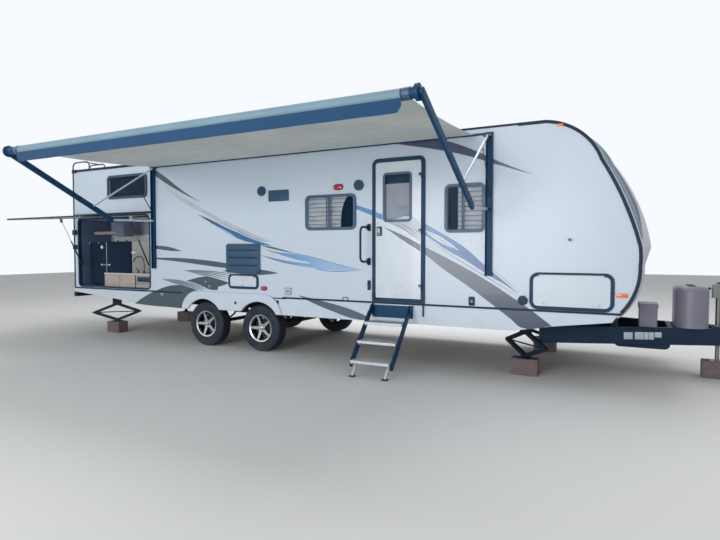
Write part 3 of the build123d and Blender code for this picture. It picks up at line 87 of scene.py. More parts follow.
def block(low, high, edge=0.0, segments=2):
    clearSelection()
    middle = [(a + b) / 2 for a, b in zip(low, high)]
    bpy.ops.mesh.primitive_cube_add(size=1, location=middle, scale=[b - a for a, b in zip(low, high)])
    return soften(bake(bpy.context.object), edge, segments)


def grid(columns, rows):
    clearSelection()
    bpy.ops.mesh.primitive_grid_add(x_subdivisions=columns, y_subdivisions=rows, size=1)
    return bpy.context.object


def rod(start, end, radius, sides=20, edge=0.0):
    clearSelection()
    start, end = Vector(start), Vector(end)
    run = end - start
    bpy.ops.mesh.primitive_cylinder_add(vertices=sides, radius=radius, depth=run.length,
                                        location=(start + end) / 2,
                                        rotation=run.to_track_quat("Z", "Y").to_euler())
    return soften(bake(bpy.context.object), edge, angle=50)


def bar(start, end, wide, thick, groove=0.0):     # a flat bar in a plane of constant x, thick along x
    start, end = Vector(start), Vector(end)
    run = end - start
    clearSelection()
    bpy.ops.mesh.primitive_cube_add(size=1, location=(start + end) / 2, scale=(thick, run.length, wide),
                                    rotation=(math.atan2(run.z, run.y), 0, 0))
    piece = bake(bpy.context.object)
    if groove:
        choose(piece, lambda face: abs(face.normal.x) > 0.9)
        bpy.ops.mesh.inset(thickness=groove, depth=-groove * 1.5)
        editing(False)
    return soften(piece, 0.0012, angle=60)


def ringAt(centre, radius, thickness, sides, section):   # a round ring whose axis runs across the caravan
    clearSelection()
    bpy.ops.mesh.primitive_torus_add(major_radius=radius, minor_radius=thickness, major_segments=sides,
                                     minor_segments=section, location=centre, rotation=(math.pi / 2, 0, 0))
    return bake(bpy.context.object)


def turned(profile, centre, axis, steps):
    # a ring of points (distance from the axis, place along it) spun all the way round
    clearSelection()
    bpy.ops.mesh.primitive_circle_add(vertices=len(profile), radius=0.1)
    piece = bpy.context.object
    across = Vector((0, 0, 1))
    run = {"X": Vector((1, 0, 0)), "Y": Vector((0, 1, 0))}[axis]
    for vertex, (away, place) in zip(piece.data.vertices, profile):
        vertex.co = Vector(centre) + across * away + run * place
    editing(True)
    bpy.ops.mesh.select_all(action="SELECT")
    bpy.ops.mesh.spin(steps=steps, angle=2 * math.pi, center=centre, axis=run)
    bpy.ops.mesh.select_all(action="SELECT")
    bpy.ops.mesh.remove_doubles(threshold=0.00002)
    bpy.ops.mesh.dissolve_degenerate(threshold=0.00001)
    bpy.ops.mesh.normals_make_consistent(inside=False)
    editing(False)
    return piece


def tube(points, radius):
    route = bpy.data.curves.new("route", "CURVE")
    route.dimensions = "3D"
    route.bevel_depth = radius
    route.bevel_resolution = 3
    route.resolution_u = 10
    route.use_fill_caps = True
    spline = route.splines.new("BEZIER")
    spline.bezier_points.add(len(points) - 1)
    for point, place in zip(spline.bezier_points, points):
        point.co = place
        point.handle_left_type = point.handle_right_type = "AUTO"
    piece = bpy.data.objects.new("tube", route)
    scene.collection.objects.link(piece)
    pick(piece)
    bpy.ops.object.convert(target="MESH")
    return bpy.context.object


def join(*pieces):
    pick(*pieces)
    if len(pieces) > 1:
        bpy.ops.object.join()
    return bpy.context.object


def copyTo(piece, move=(0, 0, 0), turn=0.0, centre=(0, 0, 0)):
    # a copy with its own mesh, turned about the upright line through centre, then moved
    clearSelection()
    made = piece.copy()
    made.data = piece.data.copy()
    made.parent = None
    made.matrix_world.identity()
    scene.collection.objects.link(made)
    cosine, sine = math.cos(turn), math.sin(turn)
    for vertex in made.data.vertices:
        x, y = vertex.co.x - centre[0], vertex.co.y - centre[1]
        vertex.co = Vector((x * cosine - y * sine + centre[0], x * sine + y * cosine + centre[1],
                            vertex.co.z)) + Vector(move)
    return made


def keepBetween(piece, rear=None, front=None):       # cuts off what lies past two places along the wall
    pick(piece)
    editing(True)
    for x, away in ((rear, -1), (front, 1)):
        if x is not None:
            bpy.ops.mesh.select_all(action="SELECT")
            bpy.ops.mesh.bisect(plane_co=(x, 0, 0), plane_no=(away, 0, 0), use_fill=True, clear_outer=True)
    editing(False)
    return piece


def choose(piece, test, kind="FACE"):        # in edit mode, only what passes the test is selected
    pick(piece)
    editing(True)
    bpy.ops.mesh.select_mode(type=kind)
    bpy.ops.mesh.select_all(action="DESELECT")
    shell = bmesh.from_edit_mesh(piece.data)
    for part in (shell.faces if kind == "FACE" else shell.edges):
        if test(part):
            part.select = True
    shell.select_flush_mode()
    bmesh.update_edit_mesh(piece.data)


def acrossWall(edge):
    first, second = (vertex.co for vertex in edge.verts)
    return abs(first.x - second.x) < 1e-6 and abs(first.z - second.z) < 1e-6


def plate(box, depth, corner, edge=0.0, steps=6):
    # a flat piece on a side wall: box is rear x, front x, low z, high z; depth is the two y places
    rear, front, low, high = box
    piece = block((rear, min(depth), low), (front, max(depth), high))
    choose(piece, acrossWall, "EDGE")
    bpy.ops.mesh.bevel(offset=corner, segments=steps, affect="EDGES")
    editing(False)
    return soften(piece, edge, angle=60)


def frameRing(box, depth, corner, band, edge=0.0, steps=6):
    piece = plate(box, depth, corner, 0.0, steps)
    choose(piece, lambda face: abs(face.normal.y) > 0.9)
    bpy.ops.mesh.inset(thickness=band, depth=0)
    bpy.ops.mesh.bridge_edge_loops()
    editing(False)
    return soften(piece, edge, angle=60)


def shrunk(box, by):
    rear, front, low, high = box
    return rear + by, front - by, low + by, high - by


def disc(place, radius, proud, sides=32, dome=0.0):   # a round piece standing on the camp side wall
    profile = [(0.0, 0.0), (radius, 0.0), (radius, -proud * 0.7), (radius * 0.93, -proud)]
    if dome:
        profile += [(radius * 0.6, -proud - dome * 0.7), (0.0, -proud - dome)]
    else:
        profile += [(0.0, -proud)]
    return turned(profile, place, "Y", sides)


def settle(piece, name, finish, smooth=35, body="caravan"):
    bake(piece)
    piece.name = name
    piece.data.name = name
    piece.data.materials.clear()
    piece.data.materials.append(skins[finish])
    if smooth:
        bpy.ops.object.shade_smooth_by_angle(angle=math.radians(smooth))
    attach(piece, body)
    return piece


def fit(name, slotName, finish, *parts, body="caravan"):     # several parts settled as one piece
    return settle(join(*parts), name, finish, body=body)


def dress(finish, *names):
    for name in names:
        for place in nodes[name].material_slots:
            place.material = skins[finish]


# finishes

class Wire:
    def __init__(self, finish, socket):
        self.finish = finish
        self.socket = socket

    def maths(self, operation, *values, clamp=False):
        return self.finish.add("ShaderNodeMath", {"operation": operation, "use_clamp": clamp},
                               dict(enumerate(values)))

    def __add__(self, other):
        return self.maths("ADD", self, other)

    def __sub__(self, other):
        return self.maths("SUBTRACT", self, other)

    def __mul__(self, other):
        return self.maths("MULTIPLY", self, other)

    def __truediv__(self, other):
        return self.maths("DIVIDE", self, other)

    def __gt__(self, other):
        return self.maths("GREATER_THAN", self, other)

    def __lt__(self, other):
        return self.maths("LESS_THAN", self, other)

    def __rsub__(self, other):
        return self.maths("SUBTRACT", other, self)

    __radd__ = __add__
    __rmul__ = __mul__

    def ease(self, low, high):       # 0 below low, 1 above high, smooth between
        return self.finish.add("ShaderNodeMapRange", {"interpolation_type": "SMOOTHSTEP"},
                               {"Value": self, "From Min": low, "From Max": high})

    def within(self, low, high):
        return (self > low) * (self < high)


class Finish:
    def __init__(self, name, colour, roughness=0.5, **constants):
        self.material = bpy.data.materials.new(name)
        self.material.use_nodes = True
        self.tree = self.material.node_tree
        self.shader = self.tree.nodes["Principled BSDF"]
        self.shader.inputs["Base Color"].default_value = (*colour, 1)
        self.shader.inputs["Roughness"].default_value = roughness
        for key, value in constants.items():
            self.shader.inputs[key.replace("_", " ")].default_value = value
        self.spot = self.add("ShaderNodeTexCoord", output="Object")
        parts = self.tree.nodes.new("ShaderNodeSeparateXYZ")
        self.tree.links.new(self.spot.socket, parts.inputs[0])
        self.x, self.y, self.z = (Wire(self, parts.outputs[i]) for i in range(3))

    def add(self, kind, settings=None, inputs=None, output=0):
        made = self.tree.nodes.new(kind)
        for key, value in (settings or {}).items():
            setattr(made, key, value)
        for key, value in (inputs or {}).items():
            if isinstance(value, Wire):
                self.tree.links.new(value.socket, made.inputs[key])
            else:
                made.inputs[key].default_value = value
        return Wire(self, made.outputs[output])

    def stretch(self, scale):
        return self.add("ShaderNodeMapping", inputs={"Vector": self.spot, "Scale": scale})

    def noise(self, scale, detail=3.0, vector=None, rough=0.5):
        return self.add("ShaderNodeTexNoise", inputs={"Vector": vector or self.spot, "Scale": scale,
                                                      "Detail": detail, "Roughness": rough})

    def bands(self, scale, direction, vector=None, distortion=0.0):
        return self.add("ShaderNodeTexWave", {"bands_direction": direction},
                        {"Vector": vector or self.spot, "Scale": scale, "Distortion": distortion}, 1)

    def blendTone(self, share, first, second):
        first, second = (tone if isinstance(tone, Wire) else (*tone, 1) for tone in (first, second))
        return self.add("ShaderNodeMix", {"data_type": "RGBA"}, {0: share, 6: first, 7: second}, 2)

    def patchy(self, scale, first, second):          # two near tones in soft patches
        return self.blendTone(self.noise(scale, 4).ease(0.3, 0.75), first, second)

    def feed(self, socket, wire):
        self.tree.links.new(wire.socket, self.shader.inputs[socket])

    def finish(self, tone, roughness, height, strength, distance):
        lifted = self.add("ShaderNodeBump", inputs={"Height": height, "Strength": strength, "Distance": distance})
        self.feed("Base Color", tone)
        self.feed("Roughness", roughness)
        self.feed("Normal", lifted)
        return self.material


def tint(red, green, blue):          # screen values, 0 to 255, as the shader's linear ones
    return tuple(round((v / 255 / 12.92) if v <= 10 else ((v / 255 + 0.055) / 1.055) ** 2.4, 4)
                 for v in (red, green, blue))


def darker(colour, share):
    return tuple(v * share for v in colour)


dirt = {"rain": tint(170, 165, 155), "road": tint(140, 132, 118), "chalk": tint(150, 148, 142),
        "grit": tint(96, 92, 86), "rust": tint(96, 58, 38), "faded": tint(150, 138, 118)}


def paintedPanel(name, colour, roughness=0.28, dust=0.12):
    made = Finish(name, colour, roughness, Coat_Weight=0.12, Coat_Roughness=0.2, Specular_IOR_Level=0.4)
    streaks = made.noise(1.0, 5, made.stretch((14, 14, 0.7))).ease(0.55, 0.9) * (dust * 0.3)
    low = (1 - made.z.ease(0.55, 1.1)) * made.noise(5, 6).ease(0.4, 0.85) * (dust * 0.6)
    tone = made.patchy(0.9, darker(colour, 0.99), darker(colour, 1.008))
    tone = made.blendTone(low, made.blendTone(streaks, tone, dirt["rain"]), dirt["road"])
    return made.finish(tone, made.noise(3.5, 2) * 0.05 + (roughness + 0.02) + low * 0.3,
                       made.noise(1.1, 1) + made.noise(320, 2) * 0.02, 0.05, 0.003)


def mouldedPlastic(name, colour, roughness, grain, lift, variety, dust, specular=0.5, coat=0.0):
    made = Finish(name, colour, roughness, Specular_IOR_Level=specular, Coat_Weight=coat)
    chalk = made.noise(38, 5).ease(0.58, 0.8) * dust
    tone = made.patchy(6, darker(colour, 1 - variety), darker(colour, 1 + variety))
    return made.finish(made.blendTone(chalk, tone, dirt["chalk"]),
                       made.noise(18, 3) * 0.16 + (roughness - 0.08) + chalk * 0.3,
                       made.noise(grain, 2) + made.noise(9, 2) * 0.5, lift, 0.0008)


def rolledMetal(name, colour, roughness, grainRun, lift, metallic, scuffs):
    made = Finish(name, colour, roughness, Metallic=metallic)
    grain = made.noise(14, 4, made.stretch(grainRun), 0.6)
    marks = made.noise(45, 6).ease(0.6, 0.78) * scuffs
    tone = made.blendTone(grain, darker(colour, 0.86), darker(colour, 1.06))
    return made.finish(made.blendTone(marks, tone, darker(colour, 0.6)),
                       grain * 0.18 + (roughness - 0.08) + marks * 0.4, grain, lift, 0.0006)


def powderCoat(name, colour, roughness, rust, dust):
    made = Finish(name, colour, roughness, Specular_IOR_Level=0.22)
    cloud = made.noise(4, 5).ease(0.3, 0.75)
    tone = made.blendTone(cloud, darker(colour, 0.85), darker(colour, 1.2))
    grit = made.noise(26, 6).ease(0.56, 0.84) * dust
    tone = made.blendTone(grit, tone, dirt["grit"])
    if rust:
        tone = made.blendTone(made.noise(60, 6).ease(0.7, 0.78) * rust, tone, dirt["rust"])
    return made.finish(tone, made.noise(30, 4) * 0.2 + (roughness - 0.1) + grit * 0.3,
                       made.noise(420, 3), 0.14, 0.0006)


def wallInk(name, colour, fade=None, stripes=None):
    made = Finish(name, colour, 0.3, Coat_Weight=0.2)
    tone = made.patchy(7, darker(colour, 0.93), darker(colour, 1.06))
    if fade:                         # far colour, and the run along the wall over which it comes in
        far, start, end = fade
        tone = made.blendTone(made.x.ease(start, end), tone, tint(*far))
    if stripes:                      # ground colour, stripes per metre, slope, share
        ground, scale, slope, share = stripes
        rise = (made.z + made.x * slope) * scale
        tone = made.blendTone(rise.maths("FRACT", rise) > share, tone, tint(*ground))
    return made.finish(tone, made.noise(30, 3) * 0.12 + 0.24, made.noise(500, 2), 0.05, 0.0004)


def tintedGlass(name, colour, alpha):
    made = Finish(name, colour, 0.05, Alpha=alpha, Specular_IOR_Level=0.14)
    smear = made.noise(7, 5, made.stretch((1, 1, 2.2))).ease(0.45, 0.85)
    made.feed("Roughness", smear * 0.16 + 0.05)
    made.feed("Base Color", made.blendTone(smear * 0.4, colour, darker(colour, 1.9)))
    made.feed("Alpha", smear * 0.07 + alpha)
    return made.material


def wornTimber(name, colour, run=(3, 26, 26), roughness=0.75, dust=0.25):
    made = Finish(name, colour, roughness)
    grain = made.noise(6, 6, made.stretch(run), 0.62)
    rings = made.bands(5, "Z", made.stretch((0.5, 2.2, 2.2)), 6)
    tone = made.blendTone(grain.ease(0.3, 0.7), darker(colour, 0.62), darker(colour, 1.3))
    tone = made.blendTone(rings * 0.3, tone, darker(colour, 0.55))
    tone = made.blendTone(made.noise(19, 5).ease(0.55, 0.8) * dust, tone, dirt["faded"])
    return made.finish(tone, grain * 0.2 + (roughness - 0.1), grain + rings * 0.3, 0.4, 0.002)


def windowTrimFinish():              # blue-grey frames, darker round the bunk windows at the rear
    made = Finish("windowTrim", tint(78, 96, 122), 0.42)
    tone = made.patchy(6, tint(50, 78, 108), tint(64, 92, 122))
    rearTone = made.patchy(6, tint(30, 58, 78), tint(40, 68, 88))
    return made.finish(made.blendTone(made.x < -8.0, tone, rearTone), made.noise(18, 3) * 0.14 + 0.36,
                       made.noise(800, 2), 0.08, 0.0006)


print("stage: finishes")
wallTone = (200, 212, 226)


def fittingFinish():                 # small wall fittings share one solid: each gets its colour by its place
    made = Finish("wallFittings", tint(42, 52, 66), 0.38)
    x, z = made.x, made.z
    upper, lower = z > 2.2, z < 1.1
    tones = ((x.within(-5.84, -5.28) * upper + x.within(-4.24, -4.08) * upper, tint(34, 74, 104)),
             (x.within(-5.79, -5.67) * lower + x.within(-4.53, -4.41) * upper, tint(40, 52, 66)),
             ((x < -10.0) * 1.0, tint(150, 30, 30)),
             (x.within(-1.08, -0.94) * lower, tint(228, 122, 66)),
             (x.within(-5.36, -5.24) * (z < 1.0), tint(198, 204, 208)))
    tone = made.patchy(8, tint(34, 44, 58), tint(48, 60, 76))
    for place, colour in tones:
        tone = made.blendTone(place, tone, colour)
    return made.finish(tone, made.noise(20, 3) * 0.15 + 0.25, made.noise(300, 2), 0.1, 0.0006)


def coolerFinish():                  # dark doors with a seam, cream cabinet side to the front
    made = Finish("coolerDoors", tint(6, 30, 54), 0.5, Specular_IOR_Level=0.12)
    tone = made.patchy(5, tint(4, 26, 50), tint(9, 36, 60))
    tone = made.blendTone(made.x.within(-9.338, -9.328) * (made.y < -1.06), tone, tint(58, 74, 96))
    tone = made.blendTone(made.x > -8.7065, tone, tint(226, 226, 220))
    return made.finish(tone, made.noise(14, 4) * 0.12 + 0.44, made.noise(260, 2), 0.06, 0.0005)


def kitchenFinish():                 # the lining: grey-blue to the left and above, cream to the right
    made = Finish("kitchenLining", tint(128, 136, 156), 0.5)
    slate = made.patchy(4, tint(160, 172, 196), tint(172, 184, 206))
    cream = made.patchy(4, tint(232, 234, 232), tint(238, 240, 236))
    pale = made.x.ease(-8.72, -8.715) + made.z.within(1.5, 1.8) * (made.x > -9.85)
    tone = made.blendTone(pale.maths("MINIMUM", pale, 1.0), slate, cream)
    tone = made.blendTone(made.x < -9.925, tone, tint(96, 112, 140))
    return made.finish(tone, made.noise(12, 4) * 0.15 + 0.4, made.noise(160, 3), 0.12, 0.0008)


def counterFinish():                 # pale worktop over light wood fronts
    wood = tint(178, 168, 160)
    made = Finish("counterWood", wood, 0.45)
    grain = made.noise(5, 6, made.stretch((2.2, 30, 30)), 0.62)
    fronts = made.blendTone(grain.ease(0.3, 0.7), darker(wood, 0.78), darker(wood, 1.14))
    fleck = made.noise(240, 3).ease(0.45, 0.7)
    top = made.blendTone(fleck, tint(186, 190, 192), tint(216, 218, 216))
    return made.finish(made.blendTone(made.z > 1.0885, fronts, top), grain * 0.2 + 0.3, grain, 0.2, 0.0008)


def hatchFinish():                   # painted outer skin, cream inside, dark edge
    skin = tint(*wallTone)
    made = Finish("hatchSkin", skin, 0.32)
    leaf = {"opened": math.radians(85.5), "hinge": (-1.239, 2.098), "edge": (-0.0236, 0.0025)}
    y, z = leaf["hinge"]
    depth = (made.y - y) * math.cos(leaf["opened"]) - (made.z - z) * math.sin(leaf["opened"])
    cream = made.patchy(3, tint(206, 204, 182), tint(218, 216, 194))
    tone = made.patchy(3, darker(skin, 0.95), darker(skin, 1.02))
    tone = made.blendTone(depth.within(*leaf["edge"]), tone, tint(16, 48, 70))
    return made.finish(made.blendTone((depth > leaf["edge"][1]) * 1.0, tone, cream),
                       made.noise(10, 4) * 0.15 + 0.26,
                       made.noise(2.5, 2) + made.noise(260, 2) * 0.05, 0.12, 0.002)


def doorLeafFinish():
    made = Finish("doorSkin", tint(209, 218, 227), 0.27, Coat_Weight=0.2)
    latch = made.x.within(-3.9, -3.8) * made.z.within(1.69, 1.83) * (made.y < -1.2375)
    metal = latch + (made.x > -3.33) * (made.y < -1.2365)        # the latch and the hinges
    low = (1 - made.z.ease(0.9, 1.35)) * made.noise(9, 6).ease(0.4, 0.8) * 0.2
    tone = made.patchy(1.3, tint(203, 213, 223), tint(212, 221, 230))
    tone = made.blendTone(low, tone, tint(150, 144, 130))
    tone = made.blendTone(metal.maths("MINIMUM", metal, 1.0), tone, tint(16, 46, 68))
    return made.finish(tone, made.noise(4, 4) * 0.14 + 0.22,
                       made.noise(2, 2) + made.noise(300, 2) * 0.03, 0.12, 0.003)


def capFinish():                     # silver shell, with the dark and blue bands that taper upwards
    made = Finish("capSkin", tint(210, 214, 219), 0.42, Specular_IOR_Level=0.22)
    side = made.y.maths("ABSOLUTE", made.y)
    taper = made.z.ease(1.62, 2.05) * 0.33
    bands = (((side > 0.99 - taper) * (side < 1.05) * made.z.within(1.64, 2.84), tint(44, 66, 84)),
             ((side > 0.985 - taper * 0.35) * (side < 1.012) * made.z.within(1.7, 2.8), tint(112, 146, 178)),
             ((side > 0.955 - taper) * (side < 0.975 - taper) * made.z.within(1.66, 2.8), tint(60, 118, 170)))
    tone = made.patchy(1.5, tint(196, 202, 210), tint(208, 213, 220))
    for band, colour in bands:
        tone = made.blendTone(band, tone, colour)
    grit = (1 - made.z.ease(0.8, 1.3)) * made.noise(14, 6).ease(0.4, 0.75) * 0.35
    return made.finish(made.blendTone(grit, tone, tint(150, 142, 126)),
                       made.noise(6, 4) * 0.12 + 0.38 + grit * 0.4, made.noise(2, 2), 0.08, 0.003)


def treadFinish(name, colour):       # ribbed stair step
    made = Finish(name, colour, 0.4, Metallic=0.3)
    grain = made.noise(20, 4, made.stretch((3, 60, 60)), 0.6)
    grit = made.noise(30, 6).ease(0.5, 0.75) * 0.35
    tone = made.blendTone(grain, darker(colour, 0.8), darker(colour, 1.1))
    return made.finish(made.blendTone(grit, tone, tint(120, 112, 98)), grain * 0.2 + 0.26 + grit * 0.3,
                       made.bands(48, "Y"), 0.5, 0.0015)


def clothFinish(name, colour, seam=None, roughness=0.85):
    made = Finish(name, colour, roughness, Sheen_Weight=0.15)
    weave = made.bands(520, "X", None, 0.4) * 0.5 + made.bands(520, "Y", None, 0.4) * 0.5
    cloud = made.noise(1.4, 5).ease(0.25, 0.8)
    tone = made.blendTone(cloud, darker(colour, 0.9), darker(colour, 1.07))
    if seam:                         # lengthwise lines: pitch, first place, half width, line colour
        pitch, first, half, line = seam
        place = (made.y - first) / pitch
        lines = (place.maths("FRACT", place) * pitch) < half * 2
        tone = made.blendTone(lines * 0.55, tone, tint(*line))
    return made.finish(tone, made.noise(40, 3) * 0.12 + (roughness - 0.06), weave, 0.2, 0.0006)


def blindFinish(name, colour, creaseShading, pitch, first):    # pleated cloth with painted shade deepening into its folds and a painted line along each crease
    made = Finish(name, colour, 0.85)
    place = (made.z - first) / pitch
    fold = place.maths("FRACT", place)
    # painted shade: each fold darkens towards its crease
    shaded = made.blendTone(fold.ease(0.3, 0.87), colour, darker(colour, 0.82))
    tone = made.blendTone(made.noise(5, 4).ease(0.3, 0.75) * 0.4, shaded, darker(colour, 0.85))
    # creaseShading: a painted line at each crease, painted shadow on the pale blinds and painted highlight on the
    # dark bunk blinds
    return made.finish(made.blendTone((fold > 0.87) * 1.0, tone, tint(*creaseShading)), made.noise(40, 3) * 0.12 + 0.79,
                       made.bands(520, "X", None, 0.4), 0.15, 0.0005)


recipes = (
    (paintedPanel, {                 # colour, roughness, dust
        "wallPaint": (wallTone,),
        "skirtPaint": ((203, 214, 229), 0.3, 0.25),
        "doorPaint": ((205, 215, 226), 0.27)}),
    (mouldedPlastic, {               # colour, roughness, grain, its depth, variety, dust, specular, coat
        "roofSkin": ((214, 214, 210), 0.6, 260, 0.2, 0.05, 0.5),
        "blackTrim": ((24, 44, 64), 0.5, 800, 0.1, 0.12, 0.03, 0.22),
        "doorTrim": ((24, 60, 88), 0.5, 800, 0.08, 0.1, 0.03, 0.22),
        "coverPlastic": ((206, 208, 208), 0.5, 300, 0.15, 0.03, 0.1),
        "gasCover": ((122, 120, 136), 0.42, 300, 0.12, 0.05, 0.08),
        "ventPlastic": ((34, 76, 106), 0.5, 600, 0.08, 0.06, 0.04),
        "slotDark": ((12, 44, 70), 0.6, 600, 0.08, 0.06, 0.04),
        "whitePlastic": ((222, 224, 226), 0.35, 500, 0.06, 0.03, 0.03),
        "greyPlastic": ((132, 150, 162), 0.45, 500, 0.06, 0.04, 0.03),
        "cupboardPaint": ((104, 112, 138), 0.5, 400, 0.06, 0.05, 0.04),
        # insectScreen: painted shade, a dark sheet behind the windows that stands for the unlit inside
        "insectScreen": ((6, 40, 64), 0.9, 900, 0.05, 0.06, 0.0, 0.05),
        "lensRed": ((196, 44, 44), 0.18, 120, 0.25, 0.1, 0.02, 0.5, 0.5),
        "lensAmber": ((232, 118, 60), 0.2, 120, 0.25, 0.1, 0.02, 0.5, 0.5)}),
    (rolledMetal, {                  # colour, roughness, run of the grain, its depth, metallic, scuffs
        "linkPaint": ((206, 214, 226), 0.4, (60, 3, 3), 0.03, 0.2, 0.06),
        "braceSteel": ((40, 56, 72), 0.35, (60, 60, 4), 0.03, 0.3, 0.1),
        "jackSteel": ((120, 122, 124), 0.42, (60, 60, 4), 0.12, 0.9, 0.6),
        "plateAlloy": ((186, 196, 208), 0.42, (3, 50, 50), 0.03, 0.35, 0.1),
        "steelBright": ((205, 206, 208), 0.16, (60, 60, 4), 0.03, 1.0, 0.06),
        "hubChrome": ((190, 192, 196), 0.2, (40, 4, 40), 0.04, 1.0, 0.1)}),
    (powderCoat, {                   # colour, roughness, rust, dust
        "ladderPaint": ((86, 98, 130), 0.36, 0, 0.06),
        "chassisPaint": ((26, 38, 54), 0.55, 0.08, 0.08),
        "hitchPaint": ((20, 44, 66), 0.55, 0.04, 0.04),
        "armPaint": ((14, 62, 98), 0.5, 0, 0.04)}),
    (wornTimber, {                   # colour, run of the grain, roughness, dust
        "floorBoard": ((96, 78, 60),),
        "blockTimber": ((114, 98, 102),),
        "shelfBoard": ((160, 150, 150), (26, 3, 26), 0.5, 0.05)}),
    (tintedGlass, {                  # colour, alpha
        "windowGlass": ((24, 48, 68), 0.13),
        "doorGlass": ((52, 70, 92), 0.12)}),
    (wallInk, {                      # colour, (far colour, from x, to x), (ground, per metre, slope, share)
        "slateInk": ((66, 82, 92), ((92, 104, 122), -7.0, -2.5)),
        "greyInk": ((112, 124, 138), ((34, 58, 84), -4.2, -2.0)),
        "paleInk": ((182, 190, 200),),
        "palerInk": ((206, 212, 218),),
        "deepInk": ((40, 66, 92), ((28, 118, 176), -6.9, -6.45), ((24, 78, 120), 44, 0.95, 0.62)),
        "skyInk": ((104, 152, 202), ((150, 184, 224), -5.4, -4.5)),
        "doorInk": ((84, 136, 188), ((14, 88, 148), -3.4, -2.5)),
        "paleStripe": ((172, 182, 200), ((186, 196, 208), -3.6, -3.4)),
        "hairInk": ((44, 72, 96),),
        "navyInk": ((70, 82, 112),)}),
    (treadFinish, {                  # colour
        "stairStep": ((206, 210, 216),)}),
    (clothFinish, {                  # colour, (pitch, first seam, half width, line colour), roughness
        "canopyCloth": ((208, 212, 206), (0.285, -3.5, 0.0045, (132, 142, 150))),
        "coverCloth": ((18, 68, 108),),
        "rollerCloth": ((122, 152, 168), None, 0.7),
        "greyShade": ((196, 202, 216),)}),
    (blindFinish, {                  # colour, painted crease line (painted shadow on the pale blind, painted highlight on the bunk blind), pitch, first fold
        "shadeCloth": ((226, 232, 240), (96, 112, 140), 0.058, 1.82),
        # nightShade: painted shade, a dark blind in the bunk windows that stands for the unlit inside
        "nightShade": ((4, 38, 64), (10, 56, 86), 0.1, 2.43)}))
skins = {}
for maker, rows in recipes:
    for name, (colour, *values) in rows.items():
        skins[name] = maker(name, tint(*colour), *values)
for maker in (windowTrimFinish, capFinish, coolerFinish, kitchenFinish, counterFinish, hatchFinish, doorLeafFinish,
              fittingFinish):
    own = maker()
    skins[own.name] = own

dressing = {                         # nodes that keep their own form
    "wallPaint": "side_wall_camp side_wall_off rear_wall", "skirtPaint": "skirts fenders",
    "capSkin": "front_cap", "roofSkin": "roof", "floorBoard": "floor", "windowTrim": "window_frames",
    "doorTrim": "hatch_frames entry_door_frame", "ladderPaint": "rear_ladder",
    "blackTrim": "corner_trims wall_brackets grab_handle hatch_strut_cylinders",
    "chassisPaint": "chassis_frame stabilizer_jacks running_gear", "hitchPaint": "a_frame coupler",
    "coverPlastic": "roof_units", "gasCover": "gas_bottle_cover battery_box", "jackSteel": "tongue_jack",
    "armPaint": "awning_channels awning_arms awning_roller stair_arms stair_sill",
    "blockTimber": "support_blocks", "coolerDoors": "refrigerator", "braceSteel": "hatch_strut_rods",
    "windowGlass": "window_panes", "doorGlass": "entry_door_glass", "kitchenLining": "kitchen_liner",
    "counterWood": "kitchen_counter", "hatchSkin": "kitchen_hatch", "doorSkin": "entry_door",
    "wallFittings": "wall_fittings", "doorPaint": "storage_door_camp storage_door_off service_door",
    "stairStep": "tread_upper tread_middle tread_lower"}
for finish, names in dressing.items():
    dress(finish, *names.split())


# awning cloth

print("stage: awning")
awning = {"ends": (-7.935, -2.614), "rail": (-1.2395, 2.8845), "roller": (-3.517, 2.8135), "sag": 0.044,
          "cells": (108, 46), "thick": 0.0014}


def canopyHeight(share, along):
    (_, z0), (_, z1) = awning["rail"], awning["roller"]
    ripple = 0.0022 * math.sin(along * 9.5 + share * 3) * math.sin(math.pi * share)
    return z0 + (z1 - z0) * share - awning["sag"] * 4 * share * (1 - share) + ripple


canopy = grid(*awning["cells"])
rear, front = awning["ends"]
inside, outside = awning["rail"][0], awning["roller"][0]
for vertex in canopy.data.vertices:
    share = 0.5 - vertex.co.y
    along = rear + (vertex.co.x + 0.5) * (front - rear)
    vertex.co = (along, inside + (outside - inside) * share, canopyHeight(share, along))
modify(canopy, "SOLIDIFY", thickness=awning["thick"], offset=1)
settle(canopy, "awningCanopy", "canopyCloth", 60)
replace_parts(canopy, "awning_canopy")

hanging = {"ends": (-7.71, -2.575), "place": -3.5672, "top": 2.722, "depth": 0.115, "corner": 0.05,
           "cells": (160, 10)}
valance = grid(*hanging["cells"])
rear, front = hanging["ends"]
corner = hanging["corner"]
for vertex in valance.data.vertices:
    along, v = rear + (vertex.co.x + 0.5) * (front - rear), 0.5 - vertex.co.y
    fromEnd = min(along - rear, front - along)
    lift = 0.0
    if fromEnd < corner:
        lift = corner - math.sqrt(max(0.0, corner ** 2 - (corner - fromEnd) ** 2))
    wave = (0.0016 * math.sin(along * 13) + 0.0008 * math.sin(along * 31 + 1)) * v
    vertex.co = (along, hanging["place"] + wave, hanging["top"] - (hanging["depth"] - lift) * v)
modify(valance, "SOLIDIFY", thickness=awning["thick"], offset=0)
settle(valance, "awningValance", "coverCloth", 60)
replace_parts(valance, "awning_valance")

roller = {"axis": (-3.518, 2.764), "middle": -5.19, "half": 2.6, "radius": 0.0495, "rings": (-2.545, -7.745)}
half, radius = roller["half"], roller["radius"]
wrap = turned([(radius, -half), (radius, half), (radius - 0.0011, half), (radius - 0.0011, -half)],
              (roller["middle"], *roller["axis"]), "X", 48)
settle(wrap, "rollerCover", "rollerCloth")
hem = rod((-7.66, -3.5685, 2.612), (-2.63, -3.5685, 2.612), 0.0032, 10)
settle(hem, "valanceHem", "coverCloth")
ringProfile = [(0.0512, -0.034), (0.053, -0.026), (0.053, 0.026), (0.0512, 0.034), (0.049, 0.034),
               (0.049, -0.034)]
fit("rollerRings", "silver_trim", "windowTrim",
    *[turned(ringProfile, (x, *roller["axis"]), "X", 48) for x in roller["rings"]])

